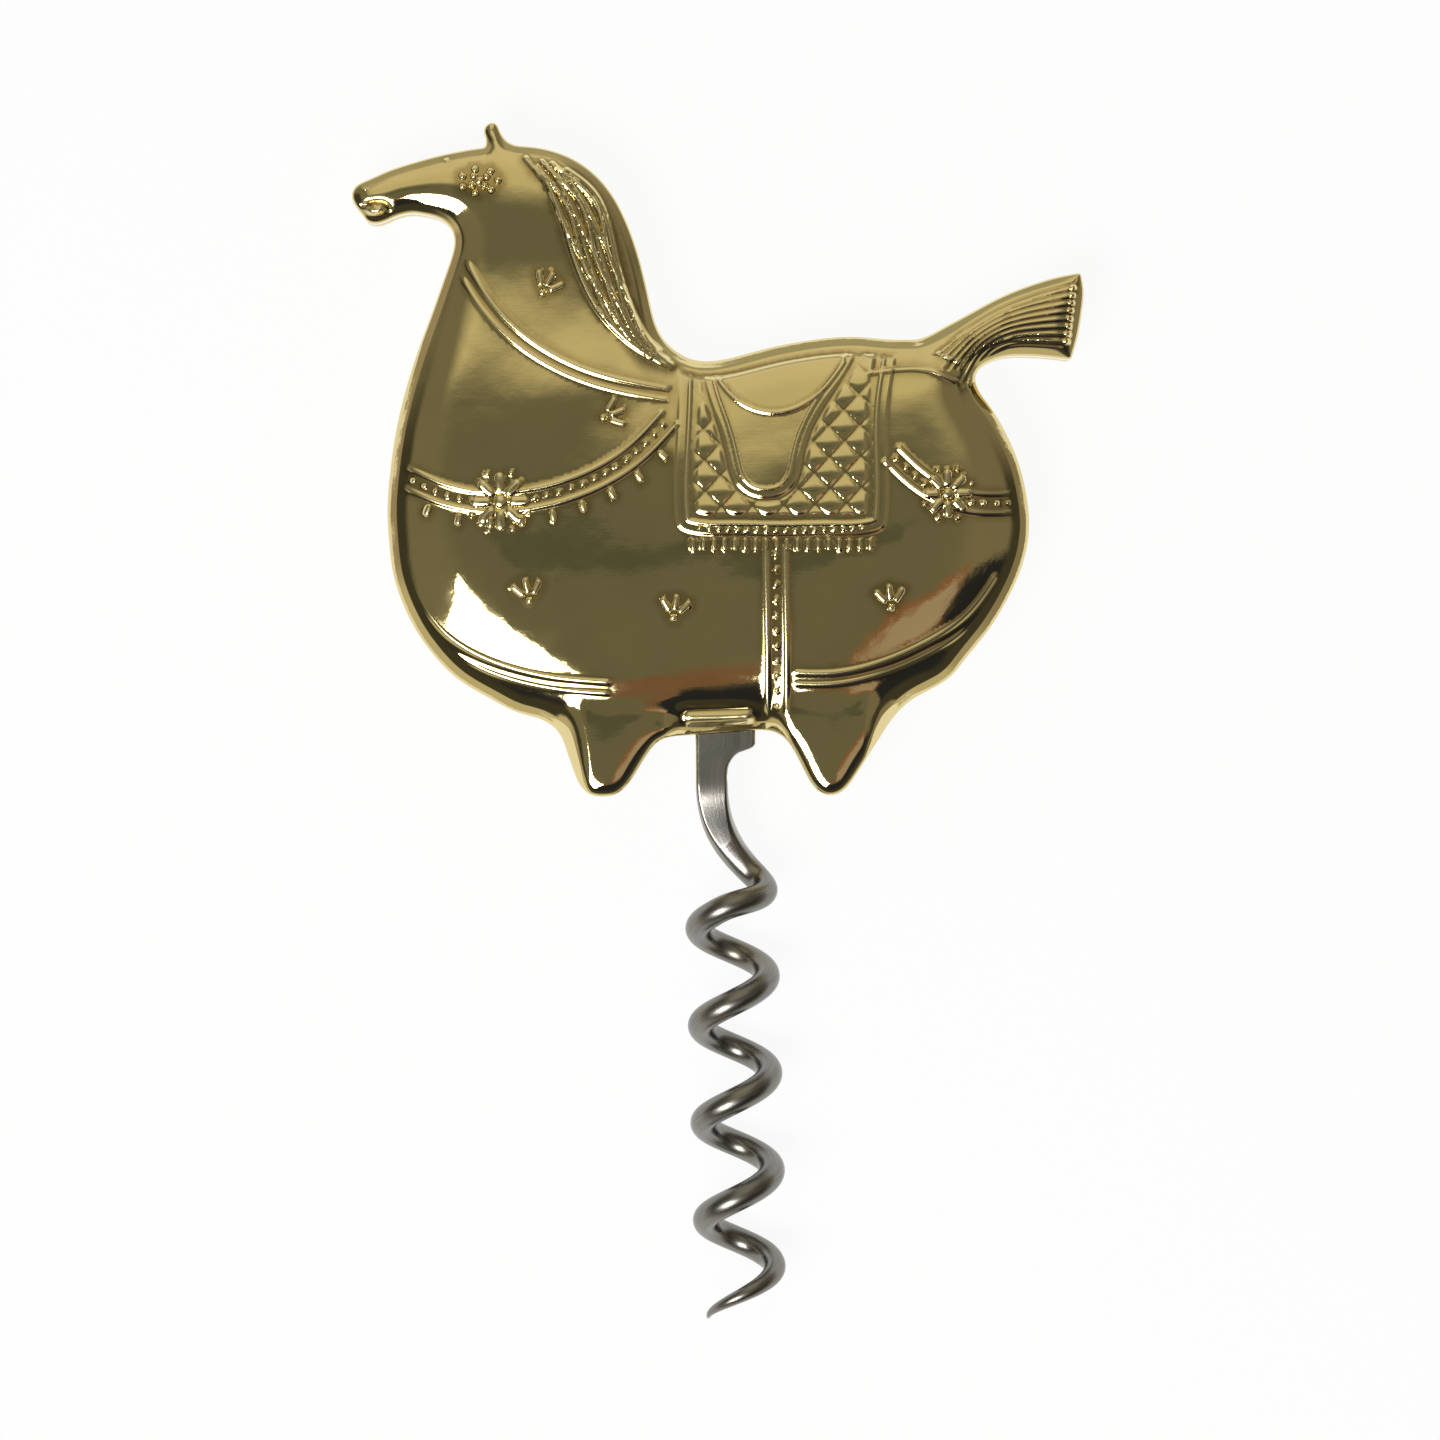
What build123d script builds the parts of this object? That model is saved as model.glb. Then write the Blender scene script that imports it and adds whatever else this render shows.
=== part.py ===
from build123d import *
import math
import os

os.makedirs("parts", exist_ok=True)

# Corkscrew with a flat, pillowed horse for a handle, lying on its back.
# The worm's axis runs along -Y at x = 0, the horse's head points to +Y and its tail to +X.
# The front face looks up along +Z, and z = 0 is the flat on the back that it rests on.

# The horse
horse_length = 73.2
horse_height = 67.3
horse_lean = 1.48            # degrees between the horse's own upright and the worm's axis
origin_x_share = 0.5055      # where the frame's origin lies in the horse's box
origin_y_share = 0.3819
back_depth = 5.5             # from the resting flat to the plane where the halves meet
front_depth = 6.0            # from that plane to the highest point of the front
back_crown_cut = 0.9         # how much of the back's crown the resting flat takes off
front_crown_radius = 400.0
back_crown_radius = 600.0
side_band = 1.3              # straight side of each half, below its rounded edge
edge_roll = 4.0              # how far in from the edge the rounding ends
overrun = 2.0                # how far every cutting shape runs past what it cuts

# The hollow between the halves
wall = 2.0
hollow_length = 40.0
hollow_height = 19.5
hollow_corner = 7.0
neck_hollow_width = 9.0
hollow_place_share = (0.450, 0.429)
neck_hollow_start_share = (0.290, 0.450)
neck_hollow_end_share = (0.275, 0.606)

# The tang and neck of the worm
tang_width = 5.95
tang_thickness = 3.0
tang_inside = 10.0           # length of tang held in the belly
tang_offset = -0.17          # centre of the tang from the worm's axis
lug_drop = 1.05              # how far the tang's full width stands out of the belly
lug_slant = 1.3              # how much further down the lug meets the neck
lug_corner_radius = 0.4
lug_hollow_radius = 1.6
tang_edge_radius = 0.3
neck_width = 3.2
neck_drop = 5.7              # from the belly's edge to the end of the straight neck
neck_seat = 1.5              # how far the round wire starts inside the straight neck
neck_bend_radius = 5.0
back_bend_radius = 2.4
front_bend_radius = 3.2
coil_lead = 3.6              # straight lead from the last bend's corner to the coil
slot_clearance = 0.05

# The coil
wire_diameter = 2.6
coil_diameter = 9.44
pitch = 9.72
turn_count = 4.25
coil_drop = 17.05            # from the belly's edge to the coil's first crossing in front
taper_turns = 0.5
tip_diameter = 0.45
steps_in_turn = 12

# The cross pin
pin_diameter = 2.4
pin_length = 8.0
pin_inside = 5.0             # from the belly's edge up to the pin's axis
pin_chamfer = 0.25
pin_clearance = 0.03

# The screws
screw_diameter = 2.5
screw_length = 8.0
screw_head_diameter = 4.7
screw_head_angle = 90.0
screw_sink = 0.1             # how far the head lies below the resting flat
screw_clearance = 0.05
driver_slot_width = 0.6
driver_slot_depth = 0.55

# How finely the outline and the wire's section are laid out
edge_sample_count = 600
roll_step_count = 5
room_use_share = 0.8         # part of the room beside an edge point that the roll may use
room_blend_power = 4
touch_distance = 0.2         # outline samples nearer than this count as the point itself

parting = back_depth
coil_radius = (coil_diameter - wire_diameter) / 2

# The horse's outline, anticlockwise from the tail's upper corner, as shares of the horse's
# length and height from the lower left corner of its box
tail_top_shares = [(0.996, 0.766), (0.989, 0.776), (0.964, 0.771), (0.932, 0.761), (0.883, 0.740),
                   (0.833, 0.711), (0.801, 0.692), (0.771, 0.680)]
back_shares = [(0.735, 0.679), (0.686, 0.682), (0.620, 0.676), (0.571, 0.666), (0.522, 0.652),
               (0.489, 0.646), (0.464, 0.649), (0.440, 0.663), (0.423, 0.683)]
mane_shares = [(0.407, 0.730), (0.391, 0.798), (0.374, 0.851), (0.341, 0.911), (0.309, 0.941),
               (0.276, 0.957), (0.243, 0.964)]
forehead_shares = [(0.210, 0.966), (0.179, 0.961), (0.149, 0.957), (0.115, 0.949), (0.082, 0.939),
                   (0.049, 0.927), (0.022, 0.914), (0.006, 0.902)]
lip_shares = [(0.001, 0.886), (0.007, 0.872), (0.019, 0.857), (0.035, 0.850), (0.050, 0.854)]
jaw_shares = [(0.064, 0.862), (0.082, 0.866), (0.102, 0.863), (0.122, 0.856), (0.136, 0.843)]
chest_shares = [(0.141, 0.826), (0.137, 0.800), (0.127, 0.768), (0.112, 0.722), (0.096, 0.675),
                (0.074, 0.600), (0.060, 0.532), (0.053, 0.475), (0.050, 0.426), (0.052, 0.381),
                (0.058, 0.330), (0.070, 0.289), (0.088, 0.249), (0.115, 0.208), (0.146, 0.175),
                (0.190, 0.146), (0.232, 0.124), (0.266, 0.113)]
fore_leg_shares = [(0.283, 0.099), (0.292, 0.076), (0.302, 0.044), (0.312, 0.019), (0.325, 0.005),
                   (0.345, 0.001), (0.363, 0.005), (0.377, 0.018), (0.391, 0.041), (0.406, 0.067),
                   (0.420, 0.083), (0.441, 0.090)]
belly_shares = [(0.470, 0.092), (0.510, 0.095), (0.551, 0.099)]
hind_leg_shares = [(0.571, 0.098), (0.589, 0.089), (0.604, 0.068), (0.620, 0.034), (0.635, 0.011),
                   (0.651, 0.003), (0.668, 0.008), (0.682, 0.024), (0.701, 0.056), (0.719, 0.086),
                   (0.738, 0.117), (0.765, 0.145), (0.800, 0.166)]
rump_shares = [(0.818, 0.180), (0.835, 0.202), (0.867, 0.247), (0.892, 0.293), (0.908, 0.330),
               (0.919, 0.371), (0.922, 0.405), (0.919, 0.442), (0.909, 0.490), (0.891, 0.540),
               (0.867, 0.584)]
tail_under_shares = [(0.853, 0.608), (0.852, 0.628), (0.866, 0.643), (0.889, 0.652), (0.915, 0.654),
                     (0.948, 0.652), (0.973, 0.649)]
tail_end_shares = [(0.982, 0.656), (0.990, 0.690), (0.996, 0.728)]
outline_shares = (tail_top_shares + back_shares + mane_shares + forehead_shares + lip_shares
                  + jaw_shares + chest_shares + fore_leg_shares + belly_shares + hind_leg_shares
                  + rump_shares + tail_under_shares + tail_end_shares)

# The ear stands on the forehead's line, from its front foot over its tip to its back foot
ear_shares = [(0.178, 0.945), (0.184, 0.968), (0.180, 0.988), (0.185, 0.996), (0.193, 1.000),
              (0.200, 0.988), (0.207, 0.974), (0.224, 0.960)]

# The four screws: neck, shoulder, belly and haunch, as shares of the same box
screw_place_shares = [(0.258, 0.739), (0.250, 0.204), (0.748, 0.225), (0.804, 0.480)]

# The corners of the wire between the straight neck and the coil: sideways and forward as
# shares of the coil's radius, with the drop as a share of the way down to the coil
neck_corner_shares = [(-0.452, 0.335, 0.0), (0.965, 0.855, -0.76)]


def horse_point(x_share, y_share):
    """A place in the horse's own box, turned by its lean and moved into the frame."""
    across = (x_share - origin_x_share) * horse_length
    up = (y_share - origin_y_share) * horse_height
    lean = math.radians(horse_lean)
    return Vector(across * math.cos(lean) + up * math.sin(lean),
                  up * math.cos(lean) - across * math.sin(lean))


outline_points = [horse_point(*share) for share in outline_shares]
screw_places = [horse_point(*share) for share in screw_place_shares]
belly_y = horse_point(*belly_shares[1]).Y
pin_place = Vector(tang_offset, belly_y + pin_inside)

# The room beside each outline point is the largest circle that touches the edge there and
# stays inside the horse. The roll of the edge never uses more than a part of that room.
with BuildLine(mode=Mode.PRIVATE) as edge_line:
    Spline(*outline_points, periodic=True)
edge_samples = [edge_line.line @ (step / edge_sample_count) for step in range(edge_sample_count)]


def inward_normal(index):
    """The direction into the horse at one outline point."""
    before = outline_points[index] - outline_points[index - 1]
    after = outline_points[(index + 1) % len(outline_points)] - outline_points[index]
    along = before * (after.length / before.length) + after * (before.length / after.length)
    return Vector(-along.Y, along.X).normalized()


def room_at(index):
    """The radius of the largest inner circle that touches the edge at one outline point."""
    point = outline_points[index]
    normal = inward_normal(index)
    radii = []
    for sample in edge_samples:
        chord = sample - point
        depth = chord.dot(normal)
        if depth > 0 and chord.length > touch_distance:
            radii.append(chord.length ** 2 / (2 * depth))
    return min(radii)


outline_rooms = [room_at(index) for index in range(len(outline_points))]
inward_normals = [inward_normal(index) for index in range(len(outline_points))]


def inset_outline(inset):
    """The outline's points moved inward, by less where the horse is narrow."""
    if inset == 0:
        return outline_points
    moved = []
    for point, normal, room in zip(outline_points, inward_normals, outline_rooms):
        limit = room_use_share * room
        depth = (inset ** -room_blend_power + limit ** -room_blend_power) ** (-1 / room_blend_power)
        moved.append(point + normal * depth)
    return moved


def half_blank(side, crown, crown_radius):
    """The outer form of one half: side is 1 for the front and -1 for the back."""
    with BuildPart() as blank:
        with BuildSketch(Plane.XY.offset(parting)):
            with BuildLine():
                Spline(*outline_points, periodic=True)
            make_face()
            with BuildLine():
                ear_edge = Spline(*[horse_point(*share) for share in ear_shares])
                Line(ear_edge @ 1, ear_edge @ 0)
            make_face()
        extrude(amount=side * side_band)
        for step in range(roll_step_count + 1):
            turn = math.radians(90 * step / roll_step_count)
            rise = side_band + (crown - side_band) * math.sin(turn)
            with BuildSketch(Plane.XY.offset(parting + side * rise)):
                with BuildLine():
                    Spline(*inset_outline(edge_roll * (1 - math.cos(turn))), periodic=True)
                make_face()
        loft()
        with Locations((0, 0, parting + side * (crown - crown_radius))):
            Sphere(crown_radius, mode=Mode.INTERSECT)
    return blank.part


def inner_hollow(depth):
    """The hollow from the parting plane up: a rounded barrel with a slot into the neck."""
    neck_start = horse_point(*neck_hollow_start_share)
    neck_end = horse_point(*neck_hollow_end_share)
    with BuildPart() as hollow:
        with BuildSketch():
            with Locations(horse_point(*hollow_place_share)):
                RectangleRounded(hollow_length, hollow_height, hollow_corner)
            SlotCenterPoint((neck_start + neck_end) / 2, neck_end, neck_hollow_width)
        extrude(amount=depth)
    return hollow.part


def tang_slot():
    """Half of the slot that the tang fills, from the parting plane up."""
    with BuildPart() as slot:
        with BuildSketch():
            with Locations((tang_offset, belly_y + tang_inside + slot_clearance)):
                Rectangle(tang_width + 2 * slot_clearance, tang_inside + slot_clearance + overrun,
                          align=(Align.CENTER, Align.MAX))
        extrude(amount=tang_thickness / 2 + slot_clearance)
    return slot.part


def crown_drop(crown_radius):
    """How far a crown has fallen at the end of the barrel's hollow."""
    return (hollow_length / 2) ** 2 / (2 * crown_radius)


front_hollow_depth = front_depth - wall - crown_drop(front_crown_radius)
back_hollow_depth = back_depth - wall
pin_hole_depth = pin_length / 2 + pin_clearance
pin_hole_radius = pin_diameter / 2 + pin_clearance
screw_hole_radius = screw_diameter / 2 + screw_clearance
screw_hole_depth = screw_sink + screw_length - parting + screw_clearance
screw_head_radius = screw_head_diameter / 2 + screw_clearance
head_slope = math.tan(math.radians(screw_head_angle / 2))
screw_head_height = (screw_head_diameter - screw_diameter) / 2 / head_slope

# Front half: the shell that carries the relief, with blind holes for the pin and the screws
with BuildPart() as front_half:
    add(half_blank(1, front_depth, front_crown_radius))
    with Locations((0, 0, parting)):
        add(inner_hollow(front_hollow_depth), mode=Mode.SUBTRACT)
        add(tang_slot(), mode=Mode.SUBTRACT)
    with Locations((pin_place.X, pin_place.Y, parting)):
        Cylinder(pin_hole_radius, pin_hole_depth, align=(Align.CENTER, Align.CENTER, Align.MIN),
                 mode=Mode.SUBTRACT)
    with Locations(*[(place.X, place.Y, parting) for place in screw_places]):
        Cylinder(screw_hole_radius, screw_hole_depth, align=(Align.CENTER, Align.CENTER, Align.MIN),
                 mode=Mode.SUBTRACT)
front_half.part.label = "front_half"
export_step(front_half.part, "parts/front_half.step")

# Back half: the same form, cut flat where it rests, with countersunk holes for the screws
with BuildPart() as back_half:
    add(half_blank(-1, back_depth + back_crown_cut, back_crown_radius))
    split(bisect_by=Plane.XY, keep=Keep.TOP)
    with Locations((0, 0, parting - back_hollow_depth)):
        add(inner_hollow(back_hollow_depth), mode=Mode.SUBTRACT)
    with Locations((0, 0, parting - tang_thickness / 2 - slot_clearance)):
        add(tang_slot(), mode=Mode.SUBTRACT)
    with Locations((pin_place.X, pin_place.Y, parting)):
        Cylinder(pin_hole_radius, pin_hole_depth, align=(Align.CENTER, Align.CENTER, Align.MAX),
                 mode=Mode.SUBTRACT)
    with Locations(*[(place.X, place.Y, 0) for place in screw_places]):
        Cylinder(screw_hole_radius, parting, align=(Align.CENTER, Align.CENTER, Align.MIN),
                 mode=Mode.SUBTRACT)
        Cone(screw_head_radius + screw_sink * head_slope, screw_hole_radius,
             screw_sink + screw_head_height + screw_clearance,
             align=(Align.CENTER, Align.CENTER, Align.MIN), mode=Mode.SUBTRACT)
back_half.part.label = "back_half"
export_step(back_half.part, "parts/back_half.step")

# Cross pin through both halves and the tang
with BuildPart() as tang_pin:
    with Locations((pin_place.X, pin_place.Y, parting)):
        Cylinder(pin_diameter / 2, pin_length)
    chamfer(tang_pin.edges(), pin_chamfer)
tang_pin.part.label = "tang_pin"
export_step(tang_pin.part, "parts/tang_pin.step")

# Four countersunk screws with a driver slot
with BuildPart() as back_screws:
    with Locations(*[(place.X, place.Y, screw_sink) for place in screw_places]):
        Cone(screw_head_diameter / 2, screw_diameter / 2, screw_head_height,
             align=(Align.CENTER, Align.CENTER, Align.MIN))
        Cylinder(screw_diameter / 2, screw_length, align=(Align.CENTER, Align.CENTER, Align.MIN))
        Box(screw_head_diameter, driver_slot_width, driver_slot_depth,
            align=(Align.CENTER, Align.CENTER, Align.MIN), mode=Mode.SUBTRACT)
back_screws.part.label = "back_screws"
export_step(back_screws.part, "parts/back_screws.step")


# Worm: the coil is a plain helix, down to where the wire starts to taper
coil_plane = Plane((0, belly_y - coil_drop, parting), x_dir=(0, 0, 1), z_dir=(0, -1, 0))
with BuildPart() as coil:
    with BuildLine():
        coil_line = Helix(pitch, pitch * (turn_count - taper_turns), coil_radius)
    with BuildSketch(Plane(coil_line @ 0, z_dir=coil_line % 0)):
        Circle(wire_diameter / 2)
    sweep(is_frenet=True)


def coil_place(turn):
    """The wire's axis in the coil, so many turns below its first crossing in front."""
    angle = math.tau * turn
    return Vector(-coil_radius * math.sin(angle), belly_y - coil_drop - pitch * turn,
                  parting + coil_radius * math.cos(angle))


def coil_heading(turn):
    """The direction in which the wire runs there, on its way down."""
    angle = math.tau * turn
    return Vector(-coil_radius * math.cos(angle), -pitch / math.tau,
                  -coil_radius * math.sin(angle)).normalized()


# Worm: the point, a loft of shrinking circles over the last part of the coil
with BuildPart() as point:
    point_steps = round(taper_turns * steps_in_turn)
    for step in range(point_steps + 1):
        turn = turn_count - taper_turns * (1 - step / point_steps)
        outward = coil_place(turn) - Vector(0, coil_place(turn).Y, parting)
        with BuildSketch(Plane(coil_place(turn), x_dir=outward, z_dir=coil_heading(turn))):
            Circle((wire_diameter + (tip_diameter - wire_diameter) * step / point_steps) / 2)
    loft()


# Worm: the bent neck, straight runs and tangent arcs from inside the tang to the coil
neck_start = Vector(tang_offset - (tang_width - neck_width) / 2, belly_y - neck_drop, parting)
neck_fall = belly_y - coil_drop - neck_start.Y
neck_corners = [Vector(sideways * coil_radius, neck_start.Y + down * neck_fall,
                       parting + forward * coil_radius)
                for sideways, down, forward in neck_corner_shares]
with BuildPart() as neck:
    with BuildLine():
        neck_line = FilletPolyline(neck_start + Vector(0, neck_seat), *neck_corners,
                                   coil_place(0) - coil_heading(0) * coil_lead, coil_place(0),
                                   radius=[neck_bend_radius, back_bend_radius, front_bend_radius])
    with BuildSketch(Plane(neck_line @ 0, z_dir=neck_line % 0)):
        Circle(wire_diameter / 2)
    sweep()

tang_left = tang_offset - tang_width / 2
tang_right = tang_offset + tang_width / 2
neck_right = tang_left + neck_width
lug_y = belly_y - lug_drop

# Worm: the flat tang with its lug and pin hole
with BuildPart() as tang:
    with BuildSketch(Plane.XY.offset(parting)) as tang_profile:
        with BuildLine():
            Polyline((tang_left, belly_y - neck_drop), (tang_left, belly_y + tang_inside),
                     (tang_right, belly_y + tang_inside), (tang_right, lug_y),
                     (neck_right, lug_y - lug_slant), (neck_right, belly_y - neck_drop), close=True)
        make_face()
        lug_corner = tang_profile.vertices().sort_by_distance((tang_right, lug_y, parting))[0]
        fillet(lug_corner, lug_corner_radius)
        lug_hollow = tang_profile.vertices().sort_by_distance((neck_right, lug_y - lug_slant, parting))[0]
        fillet(lug_hollow, lug_hollow_radius)
    extrude(amount=tang_thickness / 2, both=True)
    face_edges = tang.faces().filter_by(Axis.Z).edges()
    fillet(face_edges.filter_by(lambda edge: edge.center().Y < belly_y + tang_inside - tang_edge_radius
                                and edge.center().Y > belly_y - neck_drop + tang_edge_radius),
           tang_edge_radius)
    with Locations((pin_place.X, pin_place.Y, parting)):
        Cylinder(pin_hole_radius, tang_thickness, mode=Mode.SUBTRACT)

with BuildPart() as worm:
    add(tang.part)
    add(neck.part)
    with Locations(coil_plane):
        add(coil.part)
    add(point.part)
worm.part.label = "worm"
export_step(worm.part, "parts/worm.step")
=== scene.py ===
import math

import bpy
import numpy as np
from mathutils import Matrix, Vector, kdtree
from mathutils.geometry import delaunay_2d_cdt


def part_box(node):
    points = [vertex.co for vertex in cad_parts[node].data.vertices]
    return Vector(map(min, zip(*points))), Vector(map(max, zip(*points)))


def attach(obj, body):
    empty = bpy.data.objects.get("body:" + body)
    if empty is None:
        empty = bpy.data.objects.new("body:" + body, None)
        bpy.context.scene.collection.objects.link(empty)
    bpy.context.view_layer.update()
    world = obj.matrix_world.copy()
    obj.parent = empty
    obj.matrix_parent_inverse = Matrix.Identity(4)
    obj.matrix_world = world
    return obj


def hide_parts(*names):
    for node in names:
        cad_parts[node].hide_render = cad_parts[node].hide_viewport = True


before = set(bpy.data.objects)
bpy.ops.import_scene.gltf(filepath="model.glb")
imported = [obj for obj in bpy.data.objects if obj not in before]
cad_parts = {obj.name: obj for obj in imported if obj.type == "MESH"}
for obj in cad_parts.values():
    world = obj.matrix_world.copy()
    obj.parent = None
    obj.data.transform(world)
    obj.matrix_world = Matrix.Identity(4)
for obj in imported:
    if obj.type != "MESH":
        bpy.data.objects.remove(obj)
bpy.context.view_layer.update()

# Lengths are in millimetres until a mesh is made
millimetre = 0.001

# The horse's box, its lean and its place, as in the frame
horse_length = 73.2
horse_height = 67.3
horse_lean = math.radians(1.48)
origin_x_share = 0.5055
origin_y_share = 0.3819
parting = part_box("front_half")[0][2] / millimetre

# The rounded edge and the dome inside it
side_band = 1.90         # straight side of each half next to the seam
seam_bevel = 0.12        # small bevel of both halves along the seam
rim_radius = 0.2         # rounding between the side and the shoulder
rim_top = side_band + rim_radius
shoulder_width = 0.9     # sloping band inside that rounding
shoulder_height = 0.17   # what the band adds to the dome's rise
shoulder_power = 1.4
shoulder_softness = 0.12
front_dome = ((3.15, 4.05), (0.5, 9.0))      # height and reach of the rounding, and of the crown
leg_dome = ((0.70, 0.72), (0.5, 9.0))        # the legs are flat pads with higher, steeper sides
leg_lift = 1.5
leg_shoulder_share = 0.25
leg_inner = (3.5, 6.5)   # how far from the worm's axis the legs' form begins and is complete
leg_outer = (13.5, 17.0)    # and where it fades out again
leg_rows = (13.5, 18.0)  # how far towards the worm's point it begins and is complete
back_dome = ((4.1, 2.5),)
crown_drop = 0.7         # how much lower the head and the legs lie than the middle of the body
crown_middle = -4.0
crown_reach = 16.0
crown_fade = (1.5, 9.0)
slot_dip = 0.4           # step down between the legs, where the worm comes out
slot_dip_rows = (15.6, 17.3)
slot_dip_middle = -2.4
slot_dip_sides = (1.5, 8.2)
slot_dip_fade = (0.4, 2.4)
head_dome_share = 0.72   # the head's dome is flatter than the body's
head_rows = (14.0, 29.0)    # where along Y that change begins and ends
flat_blend = 0.12        # softness where the back's dome meets its resting flat
polish_wave_height = 0.013  # the slight unevenness that hand polishing leaves
polish_waves = ((0.52, 0.21, 1.1), (-0.30, 0.63, 0.0), (0.41, -0.47, 2.3))
polish_wave_fade = (2.0, 5.0)
room_use_share = 0.8     # part of the room beside the edge that the rounding may use
room_blend_power = 4
room_skip = 0.45         # outline points nearer than this count as the same place

# How finely the meshes are laid out
edge_spacing = 0.2
corner_softness = 0.22   # how far the outline's corners are rounded
grid_spacing = 0.32
grid_clearance = 0.17
rim_turns = 5
shoulder_insets = (0.38, 0.50, 0.66, 0.78, 0.88, 0.97, 1.05, 1.13, 1.22, 1.35)
coarse_step = 2          # the field inside the horse reads every second outline point
places_at_once = 2000    # how many places the field is worked out for in one go
nearly_zero = 1e-6
inside_only = 1          # what the triangulation keeps
sharp_angle = math.radians(50)
hollow_rounds = 5        # how widely the relief is averaged to find its hollows
hollow_depth = 0.05

# The countersunk holes in the back
screw_place_shares = [(0.258, 0.739), (0.250, 0.204), (0.748, 0.225), (0.804, 0.480)]
hole_rings = ((2.58, 0.0), (2.50, 0.06), (1.32, 1.24))   # radius and depth below the resting flat
hole_points = 64
hole_flat_radius = 2.9   # the back is flat this far around each screw
hole_blend_radius = 4.6


def horse_point(x_share, y_share):
    """A place given as shares of the horse's box, in the frame."""
    across = (x_share - origin_x_share) * horse_length
    up = (y_share - origin_y_share) * horse_height
    return (across * math.cos(horse_lean) + up * math.sin(horse_lean),
            up * math.cos(horse_lean) - across * math.sin(horse_lean))


def horse_points(shares):
    """Places given as shares, as an array in the frame."""
    return np.array([horse_point(*share) for share in shares])


def travel_along(path):
    """How far each point of a path lies along it."""
    return np.concatenate(([0], np.cumsum(np.linalg.norm(np.diff(path, axis=0), axis=1))))


def smooth_path(places, spacing):
    """Points along a natural cubic spline through the places, about that far apart."""
    places = np.asarray(places, dtype=float)
    lengths = np.linalg.norm(np.diff(places, axis=0), axis=1)
    knots = np.concatenate(([0.0], np.cumsum(lengths)))
    count = len(places)
    system = np.eye(count)
    right = np.zeros_like(places)
    for index in range(1, count - 1):
        before = lengths[index - 1]
        after = lengths[index]
        system[index, index - 1:index + 2] = (before, 2 * (before + after), after)
        rise_after = (places[index + 1] - places[index]) / after
        rise_before = (places[index] - places[index - 1]) / before
        right[index] = 6 * (rise_after - rise_before)
    bends = np.linalg.solve(system, right)
    where = np.linspace(0, knots[-1], max(2, round(knots[-1] / spacing) + 1))
    span = np.clip(np.searchsorted(knots, where, side="right") - 1, 0, count - 2)
    length = lengths[span][:, None]
    ahead = (knots[span + 1] - where)[:, None]
    behind = (where - knots[span])[:, None]
    return ((bends[span] * ahead ** 3 + bends[span + 1] * behind ** 3) / (6 * length)
            + (places[span] / length - bends[span] * length / 6) * ahead
            + (places[span + 1] / length - bends[span + 1] * length / 6) * behind)


# The outline, anticlockwise from the tail's upper corner. Neighbouring stretches meet in corners.
tail_top_shares = [(0.994, 0.777), (0.964, 0.771), (0.932, 0.761), (0.883, 0.740), (0.833, 0.711),
                   (0.801, 0.692), (0.785, 0.683), (0.771, 0.678)]
back_shares = [
    (0.771, 0.678), (0.735, 0.678), (0.686, 0.682), (0.620, 0.676), (0.571, 0.666), (0.522, 0.652),
    (0.489, 0.646), (0.464, 0.649), (0.440, 0.663), (0.423, 0.683), (0.408, 0.730), (0.393, 0.798),
    (0.376, 0.851), (0.343, 0.911), (0.310, 0.941), (0.276, 0.957), (0.250, 0.963), (0.228, 0.965)]
ear_back_shares = [
    (0.228, 0.965), (0.215, 0.970), (0.207, 0.979), (0.202, 0.990), (0.198, 0.998), (0.191, 0.9995),
    (0.184, 0.995), (0.181, 0.987), (0.184, 0.974), (0.183, 0.9625)]
forehead_shares = [
    (0.183, 0.9625), (0.165, 0.960), (0.149, 0.957), (0.115, 0.949), (0.082, 0.939), (0.049, 0.927),
    (0.022, 0.914), (0.006, 0.904), (0.0015, 0.893), (0.004, 0.880), (0.011, 0.869), (0.0165, 0.862)]
lip_shares = [(0.0165, 0.862), (0.021, 0.854), (0.031, 0.8495), (0.044, 0.852), (0.060, 0.860)]
jaw_shares = [
    (0.060, 0.860), (0.079, 0.865), (0.100, 0.863), (0.122, 0.856), (0.136, 0.843), (0.141, 0.826),
    (0.137, 0.800), (0.127, 0.768), (0.112, 0.722), (0.096, 0.675), (0.074, 0.600), (0.060, 0.532),
    (0.053, 0.475), (0.050, 0.426), (0.052, 0.381), (0.058, 0.330), (0.070, 0.289), (0.088, 0.249),
    (0.115, 0.208), (0.146, 0.175), (0.190, 0.146), (0.232, 0.124), (0.262, 0.114), (0.277, 0.104)]
fore_leg_shares = [
    (0.277, 0.104), (0.286, 0.091), (0.294, 0.069), (0.302, 0.044), (0.312, 0.019), (0.325, 0.005),
    (0.345, 0.001), (0.363, 0.005), (0.377, 0.018), (0.391, 0.041), (0.406, 0.067), (0.420, 0.083),
    (0.441, 0.090), (0.470, 0.092), (0.510, 0.095), (0.551, 0.099), (0.571, 0.098), (0.589, 0.089),
    (0.604, 0.068), (0.620, 0.034), (0.635, 0.011), (0.651, 0.003), (0.668, 0.008), (0.682, 0.024),
    (0.701, 0.056), (0.719, 0.086), (0.738, 0.117), (0.765, 0.145), (0.800, 0.166), (0.818, 0.180),
    (0.835, 0.202), (0.868, 0.247), (0.894, 0.293), (0.910, 0.330), (0.921, 0.371), (0.924, 0.405),
    (0.921, 0.442), (0.911, 0.490), (0.892, 0.540), (0.867, 0.584), (0.855, 0.603), (0.850, 0.619)]
tail_under_shares = [(0.850, 0.619), (0.854, 0.632), (0.866, 0.643), (0.889, 0.652), (0.915, 0.654),
                     (0.948, 0.652), (0.981, 0.648)]
tail_end_shares = [(0.981, 0.648), (0.990, 0.682), (0.996, 0.722), (0.998, 0.752), (0.994, 0.777)]
outline_stretches = [tail_top_shares, back_shares, ear_back_shares, forehead_shares, lip_shares,
                     jaw_shares, fore_leg_shares, tail_under_shares, tail_end_shares]


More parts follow.
